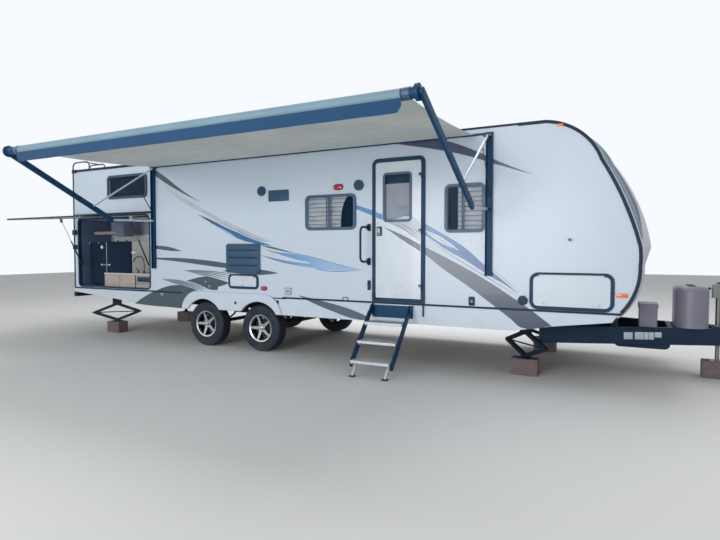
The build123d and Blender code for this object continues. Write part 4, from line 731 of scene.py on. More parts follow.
links = {"places": ((-2.444, -2.447, -2.415), (-7.97, -7.967, -7.999)),      # upper bar, lower bar, gas brace
         "root": (-1.25, 2.864), "meet": (-2.352, 2.155), "strutRoot": (-1.25, 2.0), "elbow": (-2.013, 1.975),
         "braceLow": (-1.252, 2.148), "braceHigh": (-1.598, 2.634), "cylinderShare": 0.55}
bars, braces = [], []
for upper, lower, gas in links["places"]:
    bars.append(bar((upper, *links["root"]), (upper, *links["meet"]), 0.02, 0.02, 0.003))
    bars.append(bar((lower, *links["strutRoot"]), (lower, *links["elbow"]), 0.03, 0.018, 0.003))
    for y, z in (links["root"], links["meet"], links["strutRoot"], links["elbow"]):
        braces.append(rod((upper - 0.0125, y, z), (upper + 0.0125, y, z), 0.008, 16, 0.001))
    low, high = Vector((gas, *links["braceLow"])), Vector((gas, *links["braceHigh"]))
    braces.append(rod(low, low.lerp(high, links["cylinderShare"]), 0.0078, 16, 0.001))
    braces.append(rod(low, high, 0.004, 12))
    for pin in (low, high):
        braces.append(rod(pin - Vector((0.007, 0, 0)), pin + Vector((0.007, 0, 0)), 0.009, 14))
    braces.append(plate((upper - 0.058, upper + 0.05, 2.846, 2.894), (-1.2205, -1.2665), 0.008, 0.0015))
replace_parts(fit("awningLinkBars", "silver_trim", "linkPaint", *bars), "awning_links")
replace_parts(fit("awningBraces", "silver_trim", "braceSteel", *braces), "awning_links")

# wheels: tread cut into a spun ring, hub with nuts and valve

print("stage: wheels")
wheel = {"front": (-5.837, -1.085, 0.35), "rearStep": -1.068, "offStep": 2.17, "steps": 144, "groove": 0.007,
         "spokeFace": -1.1555, "boltCircle": 0.057, "boltRadius": 0.0105}
axleX, _, axleHigh = wheel["front"]


def rimFinish():                     # machined face and lip, black in the pockets and behind
    made = Finish("wheelAlloy", tint(196, 198, 202), 0.24)
    rearX = axleX + wheel["rearStep"]
    depth = made.y.maths("ABSOLUTE", made.y)
    rise = (made.z - axleHigh) * (made.z - axleHigh)
    away = [((made.x - middle) * (made.x - middle) + rise) for middle in (axleX, rearX)]
    radius = made.x.maths("SQRT", away[0].maths("MINIMUM", away[0], away[1]))
    middle = (made.x < (axleX + rearX) / 2) * wheel["rearStep"] + axleX
    turn = made.x.maths("ARCTAN2", made.z - axleHigh, made.x - middle) * (2.5 / math.pi) - 0.5
    offSpoke = (turn.maths("FRACT", turn + 0.5) - 0.5) * (math.pi / 2.5)
    aside = radius * offSpoke.maths("ABSOLUTE", offSpoke)
    bright = (aside + radius * 0.1 < 0.0315) + (radius > 0.1865) + (radius < 0.056)
    face = (depth - (1.1522 + (radius - 0.046) * 0.1077)).ease(0.0, 0.0012) * bright.maths("MINIMUM", bright, 1.0)
    grain = made.noise(40, 4)
    silver = made.blendTone(grain, tint(184, 187, 192), tint(220, 222, 225))
    black = made.blendTone(grain, tint(14, 16, 20), tint(30, 34, 40))
    made.feed("Metallic", face * 0.9)
    return made.finish(made.blendTone(face, black, silver), (1 - face) * 0.2 + 0.2 + grain * 0.08,
                       made.noise(300, 2), 0.04, 0.0005)


def tyreFinish():
    made = Finish("tyreRubber", tint(30, 32, 36), 0.72)
    grit = made.noise(24, 6).ease(0.5, 0.8) * 0.16
    low = (1 - made.z.ease(0.0, 0.12)) * 0.5
    tone = made.blendTone(made.noise(9, 4).ease(0.3, 0.7), tint(10, 26, 40), tint(20, 38, 52))
    tone = made.blendTone(grit + low * made.noise(30, 5), tone, tint(112, 106, 96))
    return made.finish(tone, made.noise(18, 4) * 0.2 + 0.62, made.noise(260, 4), 0.25, 0.0012)


skins["rim"], skins["tyre"] = rimFinish(), tyreFinish()
dress("rim", *[name for name in nodes if name.startswith("rim_")])
outer = [(0.1925, 0.073), (0.197, 0.083), (0.206, 0.0905), (0.2135, 0.0955), (0.2165, 0.0985), (0.2215, 0.0985),
         (0.2245, 0.0975), (0.245, 0.1015), (0.268, 0.1035), (0.2795, 0.1035), (0.2815, 0.1046), (0.2875, 0.1046),
         (0.2895, 0.1033), (0.302, 0.1025), (0.3165, 0.099), (0.3265, 0.0935), (0.3375, 0.0865), (0.3445, 0.079),
         (0.3475, 0.07), (0.348, 0.052), (0.3395, 0.05), (0.3395, 0.0435), (0.3485, 0.0415), (0.3495, 0.02),
         (0.3405, 0.018), (0.3405, 0.012), (0.3498, 0.01)]
inner = [(0.32, 0.075), (0.255, 0.088), (0.205, 0.076)]
tyreProfile = ([(r, -w) for r, w in outer] + [(r, w) for r, w in reversed(outer)]
               + [(r, w) for r, w in reversed(inner)] + [(r, -w) for r, w in inner])
tyre = turned(tyreProfile, wheel["front"], "Y", wheel["steps"])


def groove(face):                    # the cross grooves of the ribs and shoulders
    spot = face.calc_center_median() - Vector(wheel["front"])
    away, across = math.hypot(spot.x, spot.z), abs(spot.y)
    angle = math.degrees(math.atan2(spot.z, spot.x)) % 360
    step = int(angle / (360 / wheel["steps"]) + (2 if spot.y > 0 else 0))
    outerRib = away > 0.345 and 0.05 < across < 0.08 and step % 4 == 0
    innerRib = away > 0.3475 and 0.018 < across < 0.043 and step % 4 == 2
    shoulder = 0.336 < away < 0.347 and across > 0.078 and step % 4 == 0
    return outerRib or innerRib or shoulder


choose(tyre, groove)
bpy.ops.mesh.extrude_region_shrink_fatten(TRANSFORM_OT_shrink_fatten={"value": -wheel["groove"]})
editing(False)

face = wheel["spokeFace"]
hubParts = [turned([(0.0, -0.022), (0.02, -0.0215), (0.03, -0.018), (0.034, -0.01), (0.035, 0.0), (0.0, 0.0)],
                   (axleX, face, axleHigh), "Y", 40)]
for i in range(5):
    turn = math.radians(126 + 72 * i)
    x, z = axleX + wheel["boltCircle"] * math.cos(turn), axleHigh + wheel["boltCircle"] * math.sin(turn)
    hubParts.append(rod((x, face - 0.012, z), (x, face + 0.03, z), wheel["boltRadius"], 6, 0.0012))
hubParts.append(rod((axleX + 0.172, face - 0.01, axleHigh - 0.03),          # tyre valve
                    (axleX + 0.166, face + 0.03, axleHigh - 0.028), 0.004, 12))
hub = join(*hubParts)
wheelPlaces = {"front_camp": (0, 0), "rear_camp": (1, 0), "front_off": (0, 1), "rear_off": (1, 1)}
for place, (rear, off) in wheelPlaces.items():
    moveX = rear * wheel["rearStep"]
    ownTyre = copyTo(tyre, (moveX, off * wheel["offStep"], 0))
    settle(ownTyre, "tyre." + place, "tyre", 30, "wheel_" + place)
    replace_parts(ownTyre, "tyre_" + place)
    ownHub = copyTo(hub, (moveX, 0, 0), off * math.pi, (axleX, 0, 0))
    settle(ownHub, "hub." + place, "hubChrome", body="wheel_" + place)
for spare in (tyre, hub):
    bpy.data.objects.remove(spare)

# windows: gaskets, slider bars, pleated blinds, and a dark sheet behind each that is painted shade for the unlit
# inside

print("stage: windows")
windows = {"bunk": (-9.12, -8.14, 2.4, 2.81), "galley": (-5.0, -4.2, 1.79, 2.275),
           "bedroom": (-2.975, -2.475, 1.728, 2.32), "offBunk": (-9.12, -8.14, 2.4, 2.81),
           "offDinette": (-5.36, -3.86, 1.56, 2.275), "offBedroom": (-2.975, -2.475, 1.728, 2.32)}
windowParts = {"inset": 0.025, "lip": (0.0162, 0.0208), "barTop": 0.0205, "barHalf": 0.014, "blind": 0.025,
               "screen": (0.04, 0.0385), "screenInset": 0.012, "clear": 0.03, "folds": (0.058, 0.01),
               "drawn": (0.55, 0.6)}


def outwards(side, *steps):          # y places that far out from a side wall's face
    return tuple(side * (halfWidth + step) for step in steps)


def pleats(low, high, y, side, pitch=0.034, depth=0.009, opening=None):
    # low and high: corners (x, z); the cloth zigzags in depth and hangs between a head rail and its lower edge
    left, right = low[0], high[0]
    tall = high[1] - low[1]
    rows = max(2, int(round(tall / (pitch / 2))))
    piece = grid(24, rows)
    for vertex in piece.data.vertices:
        u, v = vertex.co.x + 0.5, vertex.co.y + 0.5
        row = round(v * rows)
        end = opening(v) if opening else right
        z = low[1] + v * tall + 0.0018 * math.sin(u * 7 + row)
        vertex.co = (left + u * (end - left), y + side * (depth / 2 if row % 2 else -depth / 2), z)
    modify(piece, "SOLIDIFY", thickness=0.0008, offset=0)
    return piece, (right - left, tall * math.hypot(pitch / 2, depth) / (pitch / 2))


for name, box in windows.items():
    left, right, low, high = box
    side = 1 if name.startswith("off") else -1
    bunk = name.lower().endswith("bunk")
    inset, clear = windowParts["inset"], windowParts["clear"]
    gasket = [frameRing(shrunk(box, inset), outwards(side, *windowParts["lip"]), 0.05, 0.015, 0.0012)]
    if not bunk:                     # the slider's bar with its small latch
        barX = left + (0.455 if name.lower().endswith("bedroom") else 0.49) * (right - left)
        barHalf, middle = windowParts["barHalf"], (low + high) / 2
        near, far = sorted(outwards(side, windowParts["lip"][0], windowParts["barTop"]))
        gasket.append(block((barX - barHalf, near, low + inset), (barX + barHalf, far, high - inset), 0.002))
        gasket.append(block((barX + 0.016, near, middle - 0.03), (barX + 0.024, far, middle + 0.03), 0.002))
    fit(name + "Gasket", "black_trim", "windowTrim", *gasket)
    # painted shade: a dark sheet behind each window stands for the unlit inside
    near, far = sorted(outwards(side, *(-depth for depth in windowParts["screen"])))
    start, end, bottom, top = shrunk(box, windowParts["screenInset"])
    screen = block((start, near, bottom), (end, far, top))
    settle(screen, name + "Screen", "insectScreen", None)
    inner = outwards(side, -windowParts["blind"])[0]
    bottom, top = low + clear, high - clear
    if name == "galley":             # the shade is drawn aside at its front end
        hem, corner = windowParts["drawn"]
        shade, flat = pleats((left + clear, bottom), (left + corner, top), inner, side, *windowParts["folds"],
                             lambda v: left + hem + 0.1 * v ** 3)
    elif name == "bedroom":
        shade, flat = pleats((left + 0.16, bottom), (right - clear, top), inner, side, *windowParts["folds"])
    else:
        shade, flat = pleats((left + clear, bottom), (right - clear, top), inner, side)
    # the bunk blinds are dark as painted shade for the unlit inside
    settle(shade, name + "Blind", "nightShade" if bunk else "shadeCloth", None)
    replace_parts(shade, "window_blinds")

doorWindow = {"shade": (-3.783, -3.419, 1.895, 2.372), "y": -1.2125, "folds": (0.02, 0.004), "darkPanelTop": 2.498,
              "darkPanelDepth": (-1.2118, -1.2095), "frame": (-3.801, -3.401, 1.877, 2.511),
              "frameDepth": (-1.2475, -1.2362)}
left, right, low, high = doorWindow["shade"]
doorShade, flat = pleats((left, low), (right, high), doorWindow["y"], -1, *doorWindow["folds"])
settle(doorShade, "doorShade", "greyShade", None, "entry_door")
# painted shade: a dark panel fills the top of the door window, where the unlit inside shows above the shade
near, far = doorWindow["darkPanelDepth"]
upperDarkPanel = block((left, near, high - 0.004), (right, far, doorWindow["darkPanelTop"]), 0.0008)
settle(upperDarkPanel, "doorUpperDarkPanel", "doorTrim", body="entry_door")
doorFrame = frameRing(doorWindow["frame"], doorWindow["frameDepth"], 0.052, 0.03, 0.003)
settle(doorFrame, "doorWindowFrame", "windowTrim", body="entry_door")

# stripes on the wall, each a thin film cut from its outline

print("stage: stripes")
stripes = {
    "rearSlash": ("slateInk", [(-7.952, 2.839), (-7.712, 2.707), (-7.449, 2.534), (-7.169, 2.373), (-6.954, 2.265),
        (-7.17, 2.353), (-7.45, 2.479), (-7.714, 2.611), (-7.939, 2.736)]),
    "paleCurve": ("paleInk", [(-7.703, 2.548), (-7.475, 2.417), (-7.171, 2.282), (-6.854, 2.134), (-6.505, 1.982),
        (-6.21, 1.867), (-5.904, 1.745), (-5.588, 1.634), (-5.824, 1.656), (-6.169, 1.778), (-6.421, 1.881),
        (-6.723, 2.008), (-6.99, 2.127), (-7.172, 2.21), (-7.476, 2.37)]),
    "blueTail": ("deepInk", [(-7.025, 2.085), (-6.724, 1.975), (-6.464, 1.869), (-6.211, 1.778), (-6.006, 1.701),
        (-5.805, 1.639), (-5.579, 1.579), (-5.825, 1.6), (-5.966, 1.629), (-6.129, 1.663), (-6.422, 1.798),
        (-6.68, 1.912), (-6.879, 2.004)]),
    "thinTail": ("slateInk", [(-5.815, 1.592), (-5.608, 1.567), (-5.416, 1.527), (-5.228, 1.483), (-5.416, 1.506),
        (-5.609, 1.543)]),
    "midUpper": ("skyInk", [(-5.769, 1.546), (-5.54, 1.496), (-5.078, 1.445), (-4.797, 1.387), (-4.526, 1.323),
        (-4.263, 1.267), (-4.072, 1.247), (-4.338, 1.24), (-4.622, 1.24), (-4.857, 1.265), (-4.917, 1.33),
        (-5.12, 1.373), (-5.369, 1.428), (-5.54, 1.472)]),
    "midLower": ("skyInk", [(-5.803, 1.446), (-5.541, 1.398), (-5.286, 1.358), (-4.997, 1.329), (-4.907, 1.32),
        (-4.857, 1.265), (-5.161, 1.3), (-5.412, 1.343), (-5.628, 1.395)]),
    "midPale": ("palerInk", [(-5.67, 1.502), (-5.54, 1.475), (-5.369, 1.43), (-5.12, 1.374), (-5.285, 1.378),
        (-5.497, 1.401), (-5.649, 1.431)]),
    "sliverHigh": ("slateInk", [(-7.96, 1.594), (-7.613, 1.561), (-7.374, 1.499), (-7.615, 1.504), (-7.962, 1.537)]),
    "sliverLong": ("slateInk", [(-7.952, 1.391), (-7.329, 1.385), (-6.756, 1.348), (-6.429, 1.313), (-6.43, 1.238),
        (-6.757, 1.264), (-7.33, 1.319), (-7.94, 1.365)]),
    "sliverVent": ("slateInk", [(-6.549, 1.199), (-6.218, 1.228), (-5.809, 1.228), (-5.631, 1.21), (-5.467, 1.18),
        (-5.632, 1.161), (-5.83, 1.147), (-6.219, 1.159)]),
    "darkUpper": ("slateInk", [(-7.288, 1.025), (-6.894, 1.098), (-6.693, 1.082), (-6.38, 1.01), (-6.619, 0.946),
        (-6.626, 0.898), (-6.767, 0.897), (-7.01, 0.971)]),
    "darkLower": ("slateInk", [(-8.055, 0.81), (-7.481, 0.949), (-7.046, 0.872), (-7.199, 0.792), (-7.33, 0.682),
        (-7.368, 0.571), (-7.634, 0.579), (-8.086, 0.584), (-8.492, 0.603)]),
    "doorBlue": ("doorInk", [(-4.206, 2.117), (-3.968, 2.041), (-3.804, 1.98), (-3.403, 1.945), (-3.233, 1.848),
        (-2.988, 1.71), (-2.718, 1.545), (-2.481, 1.337), (-2.252, 1.151), (-2.07, 1.001), (-2.252, 1.12),
        (-2.417, 1.211), (-2.717, 1.396), (-2.987, 1.542), (-3.126, 1.637), (-3.232, 1.7), (-3.522, 1.795),
        (-3.804, 1.905), (-3.968, 1.971), (-4.206, 2.064)]),
    "doorWhite": ("palerInk", [(-3.233, 1.764), (-3.127, 1.729), (-2.954, 1.636), (-2.781, 1.504), (-2.885, 1.545),
        (-3.022, 1.608), (-3.162, 1.696)]),
    "greySwoosh": ("greyInk", [(-3.794, 1.818), (-3.522, 1.705), (-3.232, 1.558), (-2.885, 1.389), (-2.488, 1.177),
        (-2.173, 0.981), (-1.931, 0.821), (-1.711, 0.658), (-2.041, 0.618), (-2.171, 0.715), (-2.311, 0.818),
        (-2.649, 1.06), (-2.986, 1.281), (-3.231, 1.462), (-3.522, 1.641)]),
    "lowStripe": ("slateInk", [(-5.136, 0.875), (-4.707, 0.806), (-4.271, 0.713), (-4.021, 0.632), (-4.062, 0.595),
        (-4.215, 0.591), (-4.56, 0.672), (-4.98, 0.808)]),
    "topSlash": ("navyInk", [(-3.746, 2.907), (-3.396, 2.909), (-3.084, 2.884), (-2.927, 2.839), (-2.575, 2.686),
        (-2.406, 2.593), (-1.931, 2.371), (-2.405, 2.54), (-2.699, 2.648), (-3.083, 2.754), (-3.573, 2.862)]),
}
door = {"leaf": (-3.902, -3.283), "frame": (-3.96, -3.225), "face": -1.236, "blue": (-3.83, -3.812)}
overlaid = ("doorWhite", "midPale")  # these lie over another stripe
proud = {"stripe": 0.0003, "overlaid": 0.0007, "offStripe": 0.0004, "offOverlaid": 0.0009, "fan": 0.0009,
         "hairline": 0.001, "leafHairline": 0.0012, "leafPale": 0.0004}


def film(outline, y, thickness=0.0004):      # a flat shape on a side wall, cut along its outline of (x, z)
    cut = bpy.data.curves.new("film", "CURVE")
    cut.dimensions = "2D"
    cut.fill_mode = "BOTH"
    cut.resolution_u = 6
    cut.extrude = thickness / 2
    spline = cut.splines.new("BEZIER")
    spline.bezier_points.add(len(outline) - 1)
    spline.use_cyclic_u = True
    for i, (point, (x, z)) in enumerate(zip(spline.bezier_points, outline)):
        point.co = (x, z, 0)
        here = Vector((x, z))
        before, after = Vector(outline[i - 1]), Vector(outline[(i + 1) % len(outline)])
        sharp = (here - before).angle(after - here, 0) > math.radians(50)
        point.handle_left_type = point.handle_right_type = "VECTOR" if sharp else "AUTO"
    piece = bpy.data.objects.new("film", cut)
    scene.collection.objects.link(piece)
    pick(piece)
    bpy.ops.object.convert(target="MESH")
    piece = bpy.context.object
    piece.rotation_euler = (math.pi / 2, 0, 0)
    piece.location = (0, y, 0)
    return bake(piece)


def stick(piece, name, ink, body="caravan", rear=None, front=None):
    keepBetween(piece, rear, front)
    if len(piece.data.vertices):
        settle(piece, name, ink, None, body)
    else:
        bpy.data.objects.remove(piece)


for name, (ink, outline) in stripes.items():
    lift = proud["overlaid" if name in overlaid else "stripe"]
    start, end = min(outline)[0], max(outline)[0]
    (leafRear, leafFront), (frameRear, frameFront) = door["leaf"], door["frame"]
    if start > leafFront + 0.004 or end < leafRear - 0.004 or name == "topSlash":
        stick(film(outline, campWall - lift), name, ink)
        continue
    if start < frameRear:
        stick(film(outline, campWall - lift), name + "Rear", ink, front=frameRear)
    if end > frameFront:
        stick(film(outline, campWall - lift), name + "Front", ink, rear=frameFront)
    if name == "doorBlue":           # on the leaf only the piece before the window's frame is blue
        leafFront = door["blue"][1]
    stick(film(outline, door["face"] - lift), name + "Leaf", ink, "entry_door", leafRear, leafFront)

for name, (ink, outline) in stripes.items():     # the same stripes run along the off side
    if name != "sliverVent":
        y = halfWidth + proud["offOverlaid" if name in overlaid else "offStripe"]
        stick(film(outline, y), name + "Off", ink, rear=door["blue"][0] if name == "doorBlue" else None)

hairlines = {
    "entry_door": {
        "leafLow": [(-3.7, 1.874), (-3.537, 1.8), (-3.4, 1.712), (-3.286, 1.622)],
        "leafMiddle": [(-3.6, 1.874), (-3.5, 1.826), (-3.4, 1.766), (-3.286, 1.672)],
        "leafHigh": [(-3.4, 1.802), (-3.286, 1.726)]},
    "caravan": {
        "frontLow": [(-3.22, 1.668), (-2.907, 1.466), (-2.536, 1.243), (-2.3, 1.108), (-2.09, 0.992)],
        "frontMiddle": [(-3.22, 1.76), (-3.068, 1.668), (-2.813, 1.512), (-2.56, 1.34)],
        "frontHigh": [(-2.4, 1.292), (-2.25, 1.18), (-2.08, 1.028)],
        "middleTop": [(-5.103, 1.462), (-4.903, 1.42), (-4.611, 1.35), (-4.33, 1.288), (-4.064, 1.252)],
        "middleLow": [(-4.904, 1.25), (-4.612, 1.226), (-4.33, 1.232), (-4.148, 1.244)],
        "tailTop": [(-6.813, 2.022), (-6.373, 1.868), (-5.954, 1.706), (-5.661, 1.616)],
        "tailLow": [(-7.02, 2.078), (-6.6, 1.868), (-6.25, 1.706), (-5.95, 1.622)],
        "ventTop": [(-5.79, 1.575), (-5.554, 1.534), (-5.239, 1.478), (-4.936, 1.424)],
        "ventLow": [(-5.79, 1.442), (-5.591, 1.386), (-5.379, 1.338), (-5.104, 1.292)]}}
fans = {"highFan": ([(-7.337, 1.195), (-6.9, 1.19), (-6.5, 1.166), (-6.2, 1.135)],
                    [(-7.337, 1.19), (-7.02, 1.136), (-6.7, 1.078), (-6.433, 1.028)]),
        "lowFan": ([(-7.847, 1.043), (-7.455, 1.024), (-7.102, 0.972), (-6.774, 0.914)],
                   [(-7.847, 1.038), (-7.48, 0.966), (-7.15, 0.9), (-6.9, 0.876)])}
lineWork = {"fan": 0.0105, "hairline": 0.0065, "thick": 0.0003, "fanLines": 5}


def hairline(points, wide, y):       # an even line with a point at both ends
    middles = points[1:-1] or [tuple((a + b) / 2 for a, b in zip(*points))]
    upper = [(x, z + wide / 2) for x, z in middles]
    lower = [(x, z - wide / 2) for x, z in middles]
    return film([points[0]] + upper + [points[-1]] + lower[::-1], y, lineWork["thick"])


for name, (upper, lower) in fans.items():        # lines that spread between an upper and a lower one
    lines = []
    for i in range(lineWork["fanLines"]):
        share = i / (lineWork["fanLines"] - 1)
        route = [(x0 + (x1 - x0) * share, z0 + (z1 - z0) * share) for (x0, z0), (x1, z1) in zip(upper, lower)]
        lines.append(hairline(route, lineWork["fan"], campWall - proud["fan"]))
    stick(join(*lines), name, "hairInk")
for body, lines in hairlines.items():
    y = door["face"] - proud["leafHairline"] if body == "entry_door" else campWall - proud["hairline"]
    for name, points in lines.items():
        stick(hairline(points, lineWork["hairline"], y), name + "Hairline", "hairInk", body)
leafPale = [(-3.74, 1.876), (-3.401, 1.94), (-3.284, 1.846), (-3.284, 1.632), (-3.509, 1.768)]
stick(film(leafPale, door["face"] - proud["leafPale"]), "doorPaleLeaf", "paleStripe", "entry_door")

# vent grille of the refrigerator: a dark back, an outer frame and the bars between its three slots

print("stage: wall fittings")
grille = {"box": (-6.435, -5.795, 1.172, 1.612), "corner": 0.04, "band": 0.05, "slots": (1.282, 1.402, 1.511),
          "slotHigh": (0.021, 0.03, 0.021), "screws": ((-6.265, 1.546), (-5.905, 1.546)),
          "back": (-1.2203, -1.233), "frame": (-1.2204, -1.2418), "bars": (-1.2412, -1.2325)}
rear, front, low, high = grille["box"]
band = grille["band"]
back = plate(shrunk(grille["box"], 0.006), grille["back"], 0.036)
settle(back, "ventBack", "slotDark")
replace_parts(back, "refrigerator_vent")
parts = [frameRing(grille["box"], grille["frame"], grille["corner"], band, 0.004)]
start = low + band - 0.002
for middle, tall in zip(grille["slots"] + (high,), grille["slotHigh"] + (2 * band - 0.004,)):
    near, far = grille["bars"]
    parts.append(block((rear + 0.046, near, start), (front - 0.046, far, middle - tall / 2), 0.0025))
    start = middle + tall / 2
parts += [disc((x, -1.2416, z), 0.008, 0.0012, 16) for x, z in grille["screws"]]
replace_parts(fit("ventGrille", "vent_plastic", "ventPlastic", *parts), "refrigerator_vent")

markers = (((-4.54, -4.4, 2.329, 2.407), 0.02, 0.01),       # box, housing's depth, bezel's band
           ((-5.782, -5.678, 0.923, 0.983), 0.018, 0.008))
ambers = (((-1.064, -0.956, 1.014, 1.048), (0.0155, 0.02), 0.014),
          ((-1.69, -1.62, 2.888, 2.916), (0.0, 0.013), 0.012))
bezels, lenses = [], []
for side in (-1, 1):
    for box, proud, band in markers:
        corner = (box[3] - box[2]) / 2 - 0.0015
        bezels.append(frameRing(box, outwards(side, proud - 0.002, proud + 0.0035), corner, band, 0.0015, 8))
        lenses.append(plate(shrunk(box, band), outwards(side, proud - 0.002, proud + 0.0075),
                            corner - band, 0.004, 8))
fit("lampBezels", "black_trim", "blackTrim", *bezels)
fit("lampLenses", "lamp_plastic", "lensRed", *lenses)
fit("amberLenses", "lamp_plastic", "lensAmber",
    *[plate(box, outwards(side, *depth), corner, 0.003, 5) for box, depth, corner in ambers for side in (-1, 1)])

stair = {"plates": (-3.944, -3.396), "top": (-1.343, 0.707), "end": (-1.868, 0.129), "wide": 0.092,
         "thick": 0.0045,
         "feet": (-3.885, -3.455), "footHalf": 0.034, "footDepth": (-1.971, -1.903), "footHigh": 0.015}
fit("stairSidePlates", "awning_paint", "armPaint",
    *[bar((x, *stair["top"]), (x, *stair["end"]), stair["wide"], stair["thick"]) for x in stair["plates"]],
    body="stair_arms")
half, (near, far) = stair["footHalf"], stair["footDepth"]
fit("stairFeet", "black_trim", "slotDark",
    *[block((x - half, near, 0.0), (x + half, far, stair["footHigh"]), 0.004) for x in stair["feet"]],
    body="tread_lower")

speaker = {"places": ((-5.76, 2.378), (-4.158, 2.377)), "face": -1.241, "rings": 4, "ringStep": 0.0125,
           "wire": 0.0022, "dome": (-1.2425, 0.0012),
           "rim": [(0.07, -0.001), (0.069, -0.005), (0.064, -0.0075), (0.06, -0.005), (0.059, 0.001)]}
speakers = []
foot, domeStep = speaker["dome"]
for x, z in speaker["places"]:       # a raised rim and a domed grille
    speakers.append(turned(speaker["rim"], (x, speaker["face"], z), "Y", 48))
    for i in range(1, speaker["rings"] + 1):
        y = foot - domeStep * (speaker["rings"] - i)
        speakers.append(ringAt((x, y, 2.3775), speaker["ringStep"] * i, speaker["wire"], 32, 6))
fit("speakerGrilles", "black_trim", "ventPlastic", *speakers)

fit("panelBox", "vent_plastic", "ventPlastic",
    frameRing((-5.635, -5.285, 2.22, 2.38), (-1.2315, -1.235), 0.01, 0.012, 0.0012, 3),
    plate((-5.455, -5.3, 2.236, 2.364), (-1.2315, -1.2338), 0.006, 0.001, 3))
fit("socketCover", "white_cover", "greyPlastic",
    frameRing((-5.35, -5.246, 0.874, 0.978), (-1.2415, -1.245), 0.01, 0.01, 0.0012, 3),
    disc((-5.298, -1.2415, 0.926), 0.026, 0.0035, 28, 0.001))
fit("darkFittings", "black_trim", "slotDark",
    disc((-2.034, -1.2395, 0.938), 0.054, 0.006, 36, 0.004),                      # power inlet
    plate((-2.668, -2.592, 0.846, 0.956), (-1.2202, -1.23), 0.014, 0.002),        # covered socket
    frameRing((-4.402, -4.322, 0.826, 0.88), (-1.2282, -1.233), 0.008, 0.008, 0.0012, 3),  # outlet beside the door
    plate((-4.02, -3.985, 0.99, 1.118), (-1.2202, -1.252), 0.01, 0.003),          # holder of the open door
    disc((-4.002, -1.2515, 1.085), 0.015, 0.012, 24, 0.003),
    plate((-3.952, -3.916, 0.87, 0.962), (-1.245, -1.26), 0.006, 0.002),
    disc((-6.25, -1.2495, 0.717), 0.022, 0.009, 28, 0.003))                       # cap in the fender panel
fit("paleCaps", "white_cover", "greyPlastic",
    disc((-2.63, -1.23, 0.9), 0.016, 0.003, 24, 0.001),                           # face of the covered socket
    disc((-6.871, -1.2205, 1.016), 0.019, 0.008, 24, 0.002),                      # water and drain caps
    disc((-6.79, -1.2205, 0.95), 0.021, 0.008, 24, 0.002),
    plate((-7.868, -7.788, 0.767, 0.807), (-1.2205, -1.2275), 0.019, 0.002))      # blank cover
locks = {"storage_door_camp": ((-1.802, 0.914), (-1.238, 0.914)), "service_door": ((-6.118, 0.99),)}
for name, places in locks.items():
    fit(name + "Locks", "silver_trim", "plateAlloy",
        *[disc((x, -1.2485, z), 0.013, 0.005, 24, 0.001) for x, z in places], body=name)
fit("latchRing", "silver_trim", "plateAlloy",
    frameRing((-3.878, -3.834, 1.712, 1.802), (-1.265, -1.269), 0.018, 0.0075, 0.0012),
    block((-3.866, -1.268, 1.742), (-3.846, -1.2655, 1.79), 0.001), body="entry_door")
fit("roofGutters", "black_trim", "blackTrim",
    plate((-10.064, -8.09, 2.934, 2.974), (-1.227, -1.24), 0.004, 0.002, 2),      # gutter and its end cap
    block((-10.066, -1.244, 2.922), (-9.95, -1.22, 2.98), 0.004),
    block((-9.98, -1.27, 2.132), (-8.062, -1.22, 2.162), 0.004),             # drip rail over the kitchen
    block((-5.64, -1.226, 0.808), (-5.34, -1.22, 0.824), 0.001),                  # lip under the vent
    block((-3.252, -1.25, 0.68), (-3.236, -1.233, 0.818), 0.002),                 # ends of the stair sill
    block((-3.95, -1.25, 0.71), (-3.936, -1.233, 0.818), 0.002))

# blank plates on the hitch rail, turned into its line

hitch = {"turn": math.radians(20.63), "start": (-1.8912, -0.8684, 0), "depth": 0.0012,
         "plates": ((0.962, 1.062, 0.464, 0.546), (1.086, 1.184, 0.464, 0.55), (1.19, 1.24, 0.464, 0.55),
                    (1.246, 1.3, 0.464, 0.55), (1.308, 1.384, 0.49, 0.552))}
hitchPlates = []
for box in hitch["plates"]:
    piece = plate(box, (0.0, -hitch["depth"]), 0.004, 0.0003, 2)
    hitchPlates.append(copyTo(piece, hitch["start"], hitch["turn"]))
    bpy.data.objects.remove(piece)
fit("blankPlates", "silver_trim", "plateAlloy", *hitchPlates)

# rear wall: marker lamps, tail lenses, plate holder and trims

rearWall = {"markers": (-1.02, 0.0, 1.02), "markerHigh": 2.885, "markerHalf": (0.05, 0.014),
            "lamps": (-0.985, 0.985), "lensHalf": 0.062, "lensRows": (1.015, 1.095, 1.17), "lensHigh": 0.058,
            "face": -10.059,
            "holder": (-0.16, 0.16, 1.02, 1.2), "lip": 0.008, "corners": (-1.206, 1.206)}
high, (half, tall), lens = rearWall["markerHigh"], rearWall["markerHalf"], rearWall["lensHalf"]
lenses = [block((-10.074, y - half, high - tall), (-10.058, y + half, high + tall), 0.005)
          for y in rearWall["markers"]]
lenses += [block((-10.0965, y - lens, low), (-10.088, y + lens, low + rearWall["lensHigh"]), 0.003)
           for y in rearWall["lamps"] for low in rearWall["lensRows"]]
fit("rearLenses", "lamp_plastic", "lensRed", *lenses)
left, right, low, high = rearWall["holder"]
face = rearWall["face"]
fit("rearTrims", "black_trim", "blackTrim",
    block((-10.066, left, low), (face - 0.0005, right, high), 0.003),             # plate holder and its lamp
    block((-10.08, -0.03, high), (face - 0.0005, 0.03, high + 0.022), 0.003),
    *[block((-10.0665, y - 0.016, 0.83), (face, y + 0.016, 2.955), 0.002) for y in rearWall["corners"]],
    block((-10.074, -1.19, 2.925), (face, 1.19, 2.965), 0.004))                   # rail under the roof edge
left, right, low, high = shrunk(rearWall["holder"], rearWall["lip"])
fit("rearPlate", "silver_trim", "plateAlloy", block((-10.068, left, low), (-10.0655, right, high), 0.001))

# roof: lids of the vents with their hinges, and the ribs of the air conditioner

